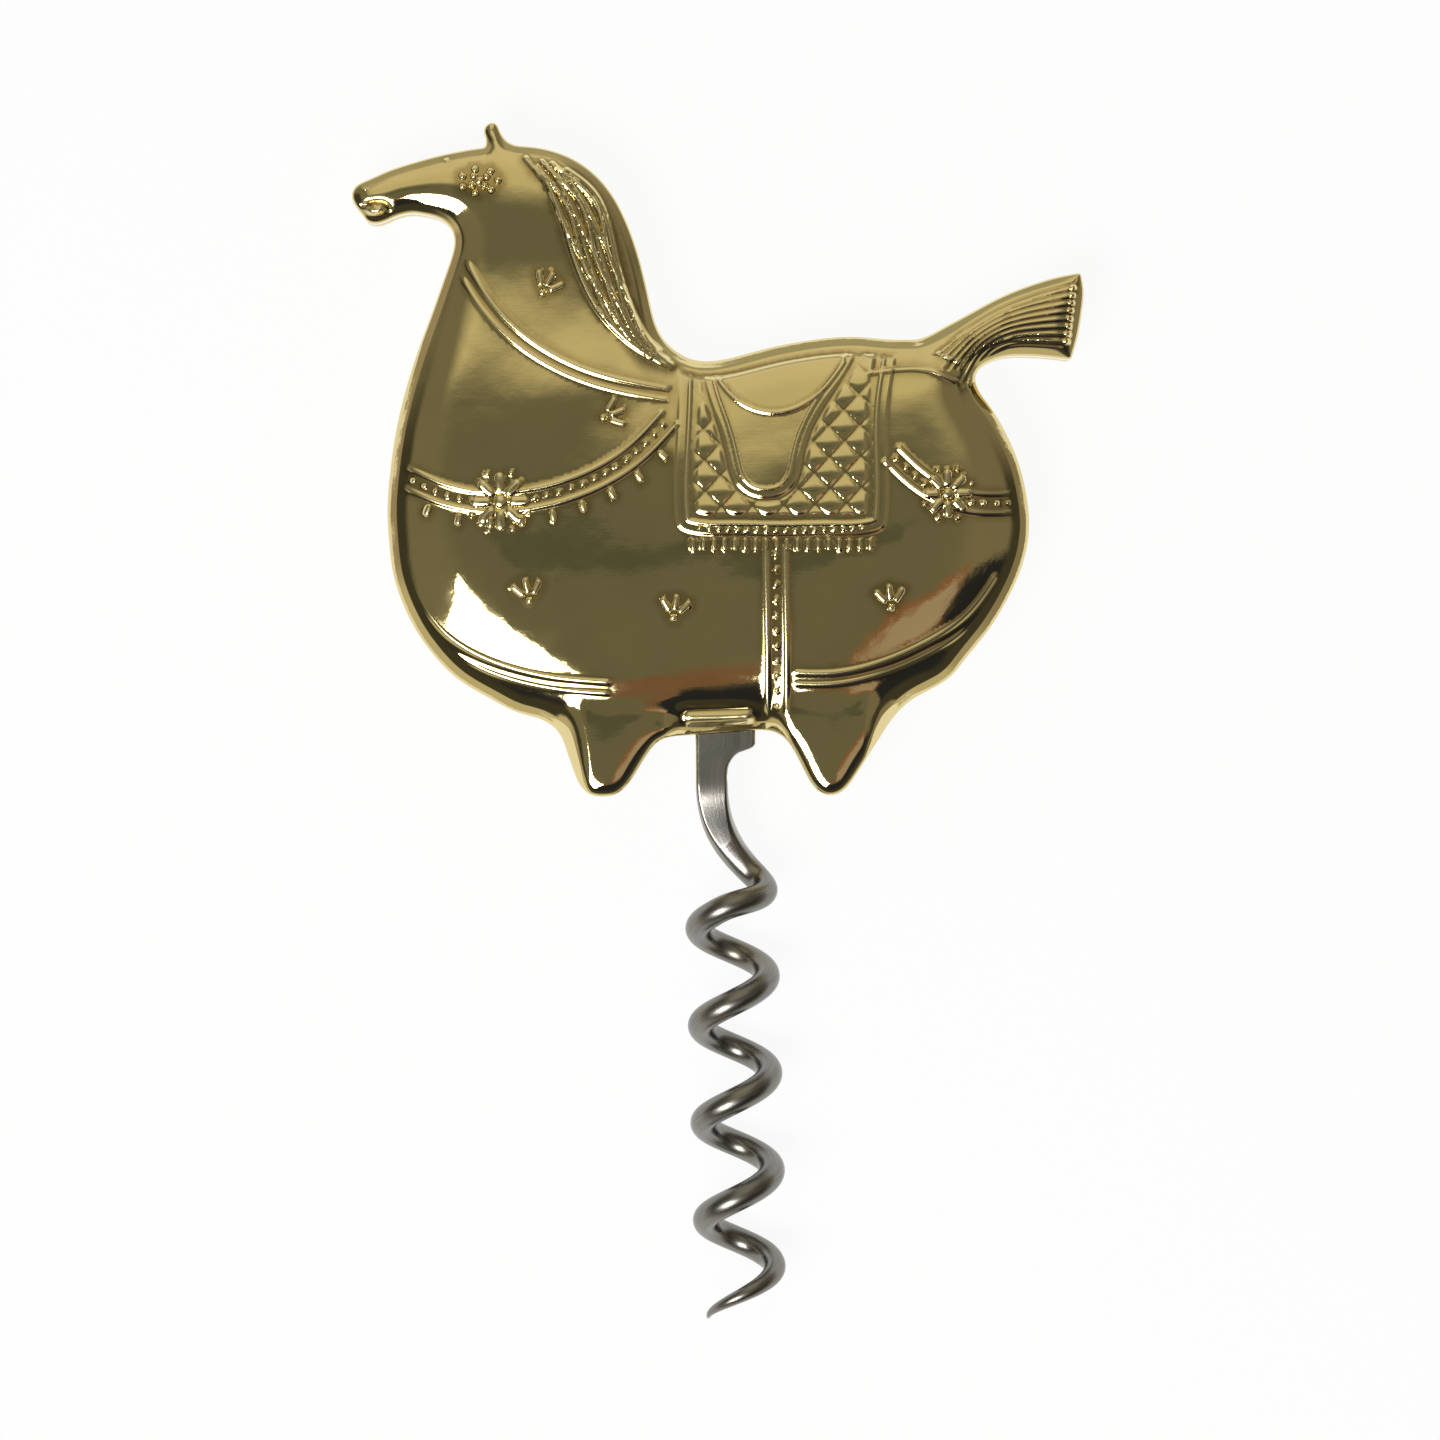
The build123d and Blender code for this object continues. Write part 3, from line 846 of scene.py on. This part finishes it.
def add_band(relief, shares, bead_spacing=None):
    """A strap of two raised lines, with beads between them where their spacing is given."""
    path = share_path(shares)
    sides = path_sides(path)
    relief.line(path + sides * band_half_gap, *band_line)
    relief.line(path - sides * band_half_gap, *band_line)
    if bead_spacing:
        relief.beads_along(path, bead_spacing, *band_bead)


def add_double_line(relief, shares, gap, lines):
    """A raised line, and a second one at a distance to its right."""
    path = share_path(shares)
    relief.line(path, *lines[0])
    relief.line(path - path_sides(path) * gap, *lines[1])


def add_rosette(relief, centre, radius):
    """A daisy: a boss with petals round it and a small bead past every gap."""
    centre = np.array(centre)
    relief.bead(centre, boss_share * radius, boss_height)
    inner, outer, petal_radius = petal_shares
    reach, bead_radius = gap_bead_shares
    for petal in range(rosette_petals):
        angle = 2 * math.pi * petal / rosette_petals
        out = heading(angle)
        relief.grain(centre + out * inner * radius, centre + out * outer * radius,
                     petal_radius * radius, petal_height)
        out = heading(angle + math.pi / rosette_petals)
        relief.bead(centre + out * reach * radius, bead_radius * radius, gap_bead_height)


def add_sprig(relief, centre, direction):
    """Three small leaves that fan out of one place, with a bead at the foot."""
    centre = np.array(centre)
    for turn in sprig_turns:
        out = heading(math.radians(direction + turn))
        relief.grain(centre + out * sprig_reach[0], centre + out * sprig_reach[1], *sprig_grain)
    relief.bead(centre, *sprig_bead)


def add_saddle(relief):
    """The saddle on its quilted cloth, with the cloth's hem and fringe."""
    cloth = closed_path(cloth_loop_shares)
    saddle = closed_path(saddle_loop_shares)
    relief.plate(cloth, cloth_height)
    relief.plate(saddle, saddle_height)
    relief.line(cloth + closed_sides(cloth) * cloth_hem, *cloth_hem_line)
    relief.line(saddle + closed_sides(saddle) * saddle_margin, *saddle_line)
    relief.line(share_path(seat_line_shares), *seat_line)
    quilt_loop = cloth + closed_sides(cloth) * (cloth_hem + quilt_margin)
    relief.quilt(quilt_loop, saddle, quilt_pitch, quilt_height)
    hem = share_path([share for share in cloth_loop_shares if share[1] < cloth_foot_share])
    relief.beads_along(hem + (0, hem_bead_rise), fringe_spacing, *hem_bead)
    count = round(np.linalg.norm(hem[-1] - hem[0]) / fringe_spacing)
    for share in np.linspace(0, 1, count):
        top = hem[0] + (hem[-1] - hem[0]) * share - (0, fringe_drop)
        relief.grain(top, top - (0, fringe_drop), *fringe_grain)


def add_straps(relief):
    """The straps that hold the saddle, the neck's strap and the double border lines."""
    add_band(relief, girth_shares, girth_bead_spacing)
    add_band(relief, collar_shares, band_bead_spacing)
    add_band(relief, breeching_shares, band_bead_spacing)
    add_band(relief, crupper_shares)
    add_double_line(relief, strap_shares, strap_gap, strap_lines)
    add_double_line(relief, left_border_shares, border_gap, border_lines)
    add_double_line(relief, right_border_shares, border_gap, border_lines)


def add_ornaments(relief):
    """The drops under the collar, the rosettes and the sprigs."""
    collar = share_path(collar_shares)
    sides = path_sides(collar)
    before, after, step = drop_steps
    for index in range(before, len(collar) - after, step):
        top = collar[index] + sides[index] * drop_gap
        relief.grain(top, top + sides[index] * drop_length, *drop_grain)
    add_rosette(relief, horse_point(*collar_rosette_share), collar_rosette_radius)
    add_rosette(relief, horse_point(*breeching_rosette_share), breeching_rosette_radius)
    for x_share, y_share, direction in sprig_shares:
        add_sprig(relief, horse_point(x_share, y_share), direction)


tack_relief = Relief(tack_edge_fade)
add_saddle(tack_relief)
add_straps(tack_relief)
add_ornaments(tack_relief)
body_relief = Relief(body_edge_fade)
add_head(body_relief)
add_slot_lip(body_relief)
add_mane(body_relief)
add_tail(body_relief)


def all_relief(places, field):
    """The horse's own relief with its tack."""
    return tack_relief.heights(places, field) + body_relief.heights(places, field)


# The worm, as it leaves the belly: rows of the flat tang and lug, given as Y and the two edges in X
tang_rows = [(-12.0, -3.15, 2.82), (-19.6, -3.15, 2.83), (-20.45, -3.15, 2.80), (-20.72, -3.15, 2.66),
             (-20.90, -3.15, 2.38), (-21.05, -3.15, 1.95), (-21.29, -3.16, 1.20), (-21.60, -3.16, 0.76),
             (-21.97, -3.17, 0.43), (-22.40, -3.18, 0.18), (-22.86, -3.19, 0.02), (-23.60, -3.21, -0.09),
             (-24.30, -3.23, -0.07)]
tang_depth = 3.0
tang_corner = 0.38

# Then the neck, bending over to the coil, and its section at each of those places
neck_places = [(-1.64, -25.0, -0.06), (-1.27, -27.7, -0.62), (-0.71, -29.33, -1.0),
               (0.32, -31.17, -1.35), (1.66, -32.86, -1.5), (2.85, -34.15, -0.95),
               (3.36, -35.10, 0.55), (2.55, -35.75, 2.2)]
neck_widths = [3.19, 3.10, 3.00, 2.85, 2.72, 2.62, 2.60, 2.60]
neck_depths = [3.0, 2.9, 2.8, 2.7, 2.62, 2.60, 2.60, 2.60]
neck_corners = [0.42, 0.62, 0.85, 1.12, 1.28, 1.30, 1.30, 1.30]

# The coil
wire_diameter = 2.7
coil_radius = 3.37
coil_pitch = 9.72
coil_turns = 4.25
coil_steps = 16          # route points in each turn
coil_start_y = -36.35
coil_first_turn = 0.03
taper_turns = 0.62
taper_power = 0.8
tip_diameter = 0.3
wire_spacing = 0.35
corner_points = 7


def section(across, upward, width, depth, corner):
    """The outline of a rounded bar's section, from its half sizes along two directions."""
    points = []
    for quarter in range(4):
        middle = math.pi * (quarter / 2 + 0.25)
        out_x = math.copysign(width / 2 - corner, math.cos(middle))
        out_y = math.copysign(depth / 2 - corner, math.sin(middle))
        for step in range(corner_points):
            angle = math.pi / 2 * (quarter + (step + 0.5) / corner_points)
            points.append(across * (out_x + corner * math.cos(angle))
                          + upward * (out_y + corner * math.sin(angle)))
    return np.array(points)


def worm_route():
    """The wire's middle line below the tang, and the places of the neck."""
    neck = np.array(neck_places) + (0, 0, parting)
    turns = np.append(np.arange(coil_first_turn, coil_turns, 1 / coil_steps), coil_turns)
    angles = 2 * math.pi * turns
    coil = np.column_stack((-coil_radius * np.sin(angles), coil_start_y - coil_pitch * turns,
                            parting + coil_radius * np.cos(angles)))
    lead = np.array([(tang_rows[-1][1] + tang_rows[-1][2]) / 2, tang_rows[-1][0], parting])
    return smooth_path(np.concatenate(([lead], neck, coil)), wire_spacing), neck


def worm_form():
    """The worm in one skin: its vertices, its faces and each vertex's place along a straight bar."""
    left = np.array([1.0, 0.0, 0.0])
    ahead = np.array([0.0, 0.0, 1.0])
    rings = []
    grains = []
    for y, low, high in tang_rows:
        form = (high - low, tang_depth, tang_corner)
        rings.append(np.array([(low + high) / 2, y, parting]) + section(left, ahead, *form))
        flat = section(left[:2], ahead[1:], *form)
        grains.append(np.column_stack((np.full(len(flat), tang_rows[-1][0] - y), flat)))
    route, neck = worm_route()
    travelled = travel_along(route)
    neck_travel = [travelled[np.argmin(np.linalg.norm(route - place, axis=1))] for place in neck]
    forms = np.stack([np.interp(travelled, neck_travel, sizes)
                      for sizes in (neck_widths, neck_depths, neck_corners)], axis=1)
    turn_length = math.hypot(2 * math.pi * coil_radius, coil_pitch)
    left_to_go = (travelled[-1] - travelled) / (taper_turns * turn_length)
    tip_share = tip_diameter / wire_diameter
    shrink = np.minimum(1, tip_share + (1 - tip_share) * np.clip(left_to_go, 0, 1) ** taper_power)
    across = left
    for index in range(1, len(route)):
        tangent = route[min(index + 1, len(route) - 1)] - route[index - 1]
        tangent /= np.linalg.norm(tangent)
        across = across - tangent * (across @ tangent)
        across /= np.linalg.norm(across)
        form = forms[index] * shrink[index]
        rings.append(route[index] + section(across, np.cross(tangent, across), *form))
        flat = section(left[:2], ahead[1:], *form)
        grains.append(np.column_stack((np.full(len(flat), travelled[index]), flat)))
    vertices = np.concatenate(rings)
    numbers = np.arange(len(vertices)).reshape(len(rings), -1).tolist()
    faces = []
    for lower, upper in zip(numbers[:-1], numbers[1:]):
        faces.extend(ring_faces(lower, upper))
    faces.append(tuple(reversed(numbers[0])))
    faces.append(tuple(numbers[-1]))
    return vertices, faces, np.concatenate(grains)


class Graph:
    """The nodes of a material or of the world, with short ways to add to them."""

    def __init__(self, tree):
        self.nodes = tree.nodes
        self.links = tree.links

    def put(self, value, socket):
        """Give a socket its value: a number, a vector, a colour or another node's output."""
        if isinstance(value, bpy.types.NodeSocket):
            self.links.new(value, socket)
        elif socket.type == "RGBA":
            socket.default_value = (*value, 1)
        else:
            socket.default_value = value

    def node(self, kind, inputs=None, **settings):
        """A new node with its settings, and with its inputs by their name or number."""
        node = self.nodes.new(kind)
        for name, value in settings.items():
            setattr(node, name, value)
        for name, value in (inputs or {}).items():
            self.put(value, node.inputs[name])
        return node

    def math(self, operation, first, second=0.0, clamp=False):
        """The result of a Math node."""
        inputs = {0: first, 1: second}
        return self.node("ShaderNodeMath", inputs, operation=operation, use_clamp=clamp).outputs[0]

    def vectors(self, operation, first, second):
        """The results of a Vector Math node."""
        return self.node("ShaderNodeVectorMath", {0: first, 1: second}, operation=operation).outputs

    def rise(self, value, low, high):
        """0 below low, 1 above high, and smooth in between."""
        inputs = {"Value": value, "From Min": low, "From Max": high}
        return self.node("ShaderNodeMapRange", inputs, interpolation_type="SMOOTHSTEP").outputs[0]

    def spread(self, value, low, high, from_low=0.3, from_high=0.7):
        """A value spread from one range to another, and kept inside it."""
        inputs = {"Value": value, "From Min": from_low, "From Max": from_high,
                  "To Min": low, "To Max": high}
        return self.node("ShaderNodeMapRange", inputs).outputs[0]

    def mix(self, factor, first, second):
        """A mix of two colours."""
        node = self.node("ShaderNodeMix", {0: factor}, data_type="RGBA")
        sockets = [socket for socket in node.inputs if socket.type == "RGBA"]
        self.put(first, sockets[0])
        self.put(second, sockets[1])
        return [socket for socket in node.outputs if socket.type == "RGBA"][0]

    def place(self):
        """The place on the object, in metres."""
        return self.node("ShaderNodeTexCoord").outputs["Object"]

    def mesh_value(self, name, output):
        """A value that the mesh carries, as its Fac or its Vector."""
        return self.node("ShaderNodeAttribute", attribute_name=name).outputs[output]

    def parts(self, vector):
        """The three parts of a vector."""
        return self.node("ShaderNodeSeparateXYZ", {0: vector}).outputs

    def stretched(self, vector, scale, turn=0.0):
        """A vector turned about Z and stretched by a scale along each axis."""
        inputs = {"Vector": vector, "Rotation": (0, 0, turn), "Scale": scale}
        return self.node("ShaderNodeMapping", inputs).outputs[0]

    def noise(self, vector, scale, detail, output="Fac"):
        """Soft noise about one half."""
        inputs = {"Vector": vector, "Scale": scale, "Detail": detail}
        return self.node("ShaderNodeTexNoise", inputs).outputs[output]

    def bumps(self, *layers):
        """Small bumps from pairs of a height and a depth in millimetres, each on top of the last."""
        normal = None
        for height, depth in layers:
            inputs = {"Strength": 1, "Distance": depth * millimetre, "Height": height}
            if normal:
                inputs["Normal"] = normal
            normal = self.node("ShaderNodeBump", inputs).outputs[0]
        return normal


def metal(name, graph_of):
    """A metal whose colour, roughness and normal come from a function of its graph."""
    material = bpy.data.materials.new(name)
    material.use_nodes = True
    graph = Graph(material.node_tree)
    shader = graph.nodes["Principled BSDF"]
    shader.inputs["Metallic"].default_value = 1
    for socket, value in zip(("Base Color", "Roughness", "Normal"), graph_of(graph)):
        graph.put(value, shader.inputs[socket])
    return material


# Gold plate: its noises by scale and detail, and depths in millimetres. What follows the hollows
# goes from one value to another between two grades of them, from -1 on crests to 1.
gold_tones = ((0.80, 0.67, 0.33), (0.74, 0.62, 0.305))
gold_tone_noise = (110, 3.0)
gold_in_hollows = (0.42, 0.31, 0.12)
# Crests are painted paler: partly rubbed wear, partly a painted highlight that makes beads and raised
# lines look lit
crest_wear_and_painted_highlight = (0.88, 0.78, 0.46)
hollow_colour_share = (0, 0.75, 0.05, 0.9)
crest_highlight_share = (0.5, 0, -0.9, -0.1)
hollow_dullness = (0, 0.09, 0.1, 0.9)
crest_dullness = (0.16, 0, -0.9, -0.2)
smear_noise = (260, 5.0)
smear_dullness = (0.03, 0.07)
dent_noise = (320, 1.5)
dent_depth = 0.028
polishing_noise = (5200, 2.0)
polishing_stretch = (0.06, 1, 1)
polishing_turn = 0.12
polishing_depth = 0.0012
pore_noise = (2600, 3.0)
pore_depth = 0.0022
back_rub = 0.08                          # the back is rubbed duller, with deeper lines
back_rub_depth = 0.0008


def gold_graph(graph, rub=0.0, rub_depth=0.0):
    """Polished gold: uneven tone, darker hollows, crests worn duller and painted paler as rubbed wear
    and painted highlight, smears and fine polishing lines.
    """
    place = graph.place()
    hollow = graph.mesh_value("hollow", "Fac")
    colour = graph.mix(graph.spread(graph.noise(place, *gold_tone_noise), 0, 1), *gold_tones)
    colour = graph.mix(graph.spread(hollow, *hollow_colour_share), colour, gold_in_hollows)
    # Painted highlight: crests are mixed towards pale gold, together with their rubbed wear
    colour = graph.mix(graph.spread(hollow, *crest_highlight_share), colour, crest_wear_and_painted_highlight)
    low, high = smear_dullness
    dull = graph.spread(graph.noise(place, *smear_noise), low, high + rub)
    dull = graph.math("ADD", dull, graph.spread(hollow, *hollow_dullness))
    dull = graph.math("ADD", dull, graph.spread(hollow, *crest_dullness))
    drawn = graph.stretched(place, polishing_stretch, polishing_turn)
    normal = graph.bumps((graph.noise(place, *dent_noise), dent_depth),
                         (graph.noise(drawn, *polishing_noise), polishing_depth + rub_depth),
                         (graph.noise(place, *pore_noise), pore_depth))
    return colour, dull, normal


def back_gold_graph(graph):
    """The back's gold, rubbed by the tables that it lay on."""
    return gold_graph(graph, back_rub, back_rub_depth)


# Steel of the worm: a dark and a pale tone, first at the ground tang and then as drawn wire
ground_steel = ((0.40, 0.39, 0.355), (0.52, 0.51, 0.47))
wire_steel = ((0.19, 0.187, 0.17), (0.26, 0.255, 0.23))
wire_rows = (2.0, 13.0)                  # how far below the lug the one turns into the other
drawn_stretch = (0.04, 1, 1)
drawn_noise = (5.5, 4.0)
drawn_depth = 0.004
stain_colour = (0.26, 0.225, 0.175)
stain_stretch = (0.35, 1, 1)
stain_noise = (0.55, 4.0)
stain_share = (0, 0.6, 0.5, 0.72)
steel_dullness = (0.17, 0.24)
wire_dullness = 0.09
pit_noise = (7.0, 4.0)
pit_depth = 0.0015


def drawn_steel_graph(graph):
    """Steel with the lines of drawing along it: ground bright at the tang, darker as wire."""
    bar = graph.mesh_value("bar", "Vector")
    wire = graph.rise(graph.parts(bar)[0], *wire_rows)
    lines = graph.noise(graph.stretched(bar, drawn_stretch), *drawn_noise)
    stains = graph.noise(graph.stretched(bar, stain_stretch), *stain_noise)
    dark, pale = [graph.mix(wire, *tones) for tones in zip(ground_steel, wire_steel)]
    colour = graph.mix(graph.spread(lines, 0, 1), dark, pale)
    colour = graph.mix(graph.spread(stains, *stain_share), colour, stain_colour)
    dull = graph.math("ADD", graph.spread(stains, *steel_dullness),
                      graph.math("MULTIPLY", wire, wire_dullness))
    return colour, dull, graph.bumps((lines, drawn_depth), (graph.noise(bar, *pit_noise), pit_depth))


# Steel of the screws and the pin
turned_steel = ((0.60, 0.60, 0.58), (0.50, 0.49, 0.46))
turned_dullness = (0.2, 0.36)
turned_rings = 42000.0                   # radians of the rings' wave in a metre
turned_ring_depth = 0.0035
mottle_noise = (900, 4.0)
mottle_depth = 0.01


def turned_steel_graph(graph):
    """Bright screws and pin with the rings that turning leaves."""
    place = graph.place()
    flat = graph.vectors("MULTIPLY", place, (1, 1, 0))[0]
    distances = [graph.vectors("DISTANCE", flat, (x * millimetre, y * millimetre, 0))["Value"]
                 for x, y in screw_places]
    nearest = distances[0]
    for distance in distances[1:]:
        nearest = graph.math("MINIMUM", nearest, distance)
    rings = graph.math("SINE", graph.math("MULTIPLY", nearest, turned_rings))
    mottle = graph.noise(place, *mottle_noise)
    colour = graph.mix(graph.spread(mottle, 0, 1), *turned_steel)
    normal = graph.bumps((rings, turned_ring_depth), (mottle, mottle_depth))
    return colour, graph.spread(mottle, *turned_dullness), normal


front_gold = metal("gold_plate_finish", gold_graph)
back_gold = metal("back_gold_finish", back_gold_graph)
worm_steel = metal("worm_steel_finish", drawn_steel_graph)
fastener_steel = metal("fastener_steel_finish", turned_steel_graph)

front_vertices, front_faces, front_reliefs = half_shell(1, front_rise, all_relief,
                                                        mesh_points((body_relief, tack_relief)))
front_hollows = hollows(front_faces, front_reliefs, hollow_rounds, hollow_depth)
front = make_mesh_object("front_shell", front_vertices, front_faces, front_gold,
                         {"hollow": front_hollows})
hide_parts("front_half")
back_vertices, back_faces, back_reliefs = half_shell(-1, back_rise, no_relief, np.zeros((0, 2)))
back = make_mesh_object("back_shell", back_vertices, back_faces, back_gold,
                        {"hollow": back_reliefs})
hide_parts("back_half")
worm_vertices, worm_faces, worm_bar = worm_form()
worm = make_mesh_object("steel_worm", worm_vertices, worm_faces, worm_steel,
                        {"bar": worm_bar})
worm.modifiers.new("flat_faces_shade_flat", "WEIGHTED_NORMAL").keep_sharp = True
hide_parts("worm")
for node_name in ("back_screws", "tang_pin"):
    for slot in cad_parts[node_name].material_slots:
        slot.material = fastener_steel


# The room's directions, with x and y from -1 to 1. The ramps lie over its ceiling, each with the
# part of the direction that it follows, where it starts and is complete, and its colour.
ceiling = (0.160, 0.157, 0.127)
room_ramps = [("y", 0.14, 0.32, (0.64, 0.59, 0.43)), ("y", 0.42, 0.70, (0.72, 0.66, 0.52)),
              ("x", -0.30, -0.52, (0.20, 0.19, 0.15)), ("x", 0.26, 0.47, (0.21, 0.19, 0.15)),
              ("y", -0.32, -0.50, (0.022, 0.024, 0.035))]

# Patches over them, as low x, high x, low y and high y, with a softness and a colour
steady_patches = [((-0.17, 0.15, 0.015, 0.072), 0.012, (0.108, 0.112, 0.094))]
ragged_patches = [((0.12, 0.44, -0.39, -0.13), 0.022, (0.27, 0.13, 0.08)),
                  ((0.16, 0.42, -0.35, -0.17), 0.022, (0.40, 0.33, 0.30)),
                  ((-0.12, 0.10, -0.44, -0.31), 0.03, (0.20, 0.115, 0.08)),
                  ((0.42, 2.0, -2.0, -0.20), 0.05, (0.022, 0.024, 0.035))]
steady_wobble = (2.6, 0.0, 0.07)         # scale and detail of the noise, and how far it shifts
ragged_wobble = (26.0, 5.0, 0.14)

# A dark line above the table's horizon, and the pale horizon
skirting = (0.055, 0.054, 0.045)
skirting_heights = (0.62, 0.50)
skirting_rows = (0.45, 0.15)
horizon_heights = (0.34, 0.20)
horizon = (0.60, 0.56, 0.45)
horizon_ramps = [("y", -0.36, -0.04, (0.37, 0.32, 0.27)), ("y", 0.30, 0.75, (0.42, 0.40, 0.33)),
                 ("x", 0.62, 0.92, (0.27, 0.24, 0.19))]


def wobbled(graph, direction, scale, detail, amount):
    """The x and y of a direction, shifted a little by noise."""
    shifts = graph.parts(graph.noise(direction, scale, detail, output="Color"))
    moved = [graph.math("MULTIPLY", graph.math("SUBTRACT", shift, 0.5), amount) for shift in shifts[:2]]
    return [graph.math("ADD", part, shift) for part, shift in zip(graph.parts(direction)[:2], moved)]


def add_ramps(graph, colour, direction, ramps):
    """A colour with ramps laid over it."""
    for axis, low, high, shade in ramps:
        colour = graph.mix(graph.rise(direction["xy".index(axis)], low, high), colour, shade)
    return colour


def add_patches(graph, colour, direction, patches):
    """A colour with soft-edged boxes of directions laid over it."""
    x, y = direction
    for (low_x, high_x, low_y, high_y), softness, shade in patches:
        mask = graph.rise(x, low_x - softness, low_x + softness)
        for value, start, end in ((x, high_x + softness, high_x - softness),
                                  (y, low_y - softness, low_y + softness),
                                  (y, high_y + softness, high_y - softness)):
            mask = graph.math("MULTIPLY", mask, graph.rise(value, start, end))
        colour = graph.mix(mask, colour, shade)
    return colour


def room_light():
    """A dim room: its walls, dark corners and what stands near the camera."""
    world = bpy.data.worlds.new("room")
    world.use_nodes = True
    graph = Graph(world.node_tree)
    direction = graph.node("ShaderNodeTexCoord").outputs["Generated"]
    parts = graph.parts(direction)
    steady = wobbled(graph, direction, *steady_wobble)
    ragged = wobbled(graph, direction, *ragged_wobble)
    colour = add_ramps(graph, ceiling, steady, room_ramps)
    colour = add_patches(graph, colour, steady, steady_patches)
    colour = add_patches(graph, colour, ragged, ragged_patches)
    low = graph.rise(parts[2], *skirting_heights)
    low = graph.math("MULTIPLY", low, graph.rise(steady[1], *skirting_rows))
    colour = graph.mix(low, colour, skirting)
    pale = add_ramps(graph, horizon, parts, horizon_ramps)
    colour = graph.mix(graph.rise(parts[2], *horizon_heights), colour, pale)
    graph.put(colour, graph.nodes["Background"].inputs["Color"])
    bpy.context.scene.world = world


# The window and the floor, in metres
window_place = (-0.261, -0.304, 0.634)
window_size = (0.37, 0.34)
window_radiance = 11.5
floor_reach = 3
floor_tone = (0.9, 0.9, 0.9)
floor_glow_share = 0.93


def window_light():
    """A soft rectangular light that faces the object."""
    data = bpy.data.lights.new("window", "AREA")
    data.shape = "RECTANGLE"
    data.size, data.size_y = window_size
    data.energy = window_radiance * math.pi * window_size[0] * window_size[1]
    light = bpy.data.objects.new("window", data)
    bpy.context.scene.collection.objects.link(light)
    light.location = window_place
    light.rotation_euler = (-Vector(window_place)).to_track_quat("-Z", "Y").to_euler()


def white_floor():
    """A pale floor that the camera, the metal and glass see as white, with the object's shadow."""
    mesh = bpy.data.meshes.new("floor")
    corners = [(across * floor_reach, along * floor_reach, 0)
               for across, along in ((-1, -1), (1, -1), (1, 1), (-1, 1))]
    mesh.from_pydata(corners, [], [(0, 1, 2, 3)])
    floor = bpy.data.objects.new("floor", mesh)
    bpy.context.scene.collection.objects.link(floor)
    material = bpy.data.materials.new("floor_white")
    material.use_nodes = True
    graph = Graph(material.node_tree)
    graph.nodes.remove(graph.nodes["Principled BSDF"])
    diffuse = graph.node("ShaderNodeBsdfDiffuse", {"Color": floor_tone})
    glow = graph.node("ShaderNodeEmission")
    rays = graph.node("ShaderNodeLightPath").outputs
    seen = graph.math("ADD", rays["Is Camera Ray"], rays["Is Glossy Ray"])
    seen = graph.math("ADD", seen, rays["Is Transmission Ray"], clamp=True)
    mix = graph.node("ShaderNodeMixShader", {0: graph.math("MULTIPLY", seen, floor_glow_share),
                                             1: diffuse.outputs[0], 2: glow.outputs[0]})
    graph.put(mix.outputs[0], graph.nodes["Material Output"].inputs["Surface"])
    mesh.materials.append(material)


room_light()
white_floor()
window_light()

# The camera looks straight down, and the worm's axis leans a little in its picture
picture_centre = (-0.66, -17.99)
picture_width = 144.0
camera_height = 600.0
sensor_width = 36
camera_data = bpy.data.cameras.new("camera")
camera_data.sensor_width = sensor_width
camera_data.lens = sensor_width * camera_height / picture_width
camera = bpy.data.objects.new("camera", camera_data)
bpy.context.scene.collection.objects.link(camera)
camera_place = Matrix.Translation(Vector((*picture_centre, parting + camera_height)) * millimetre)
camera.matrix_world = camera_place @ Matrix.Rotation(-horse_lean, 4, "Z")
bpy.context.scene.camera = camera
bpy.context.scene.view_settings.view_transform = "Standard"
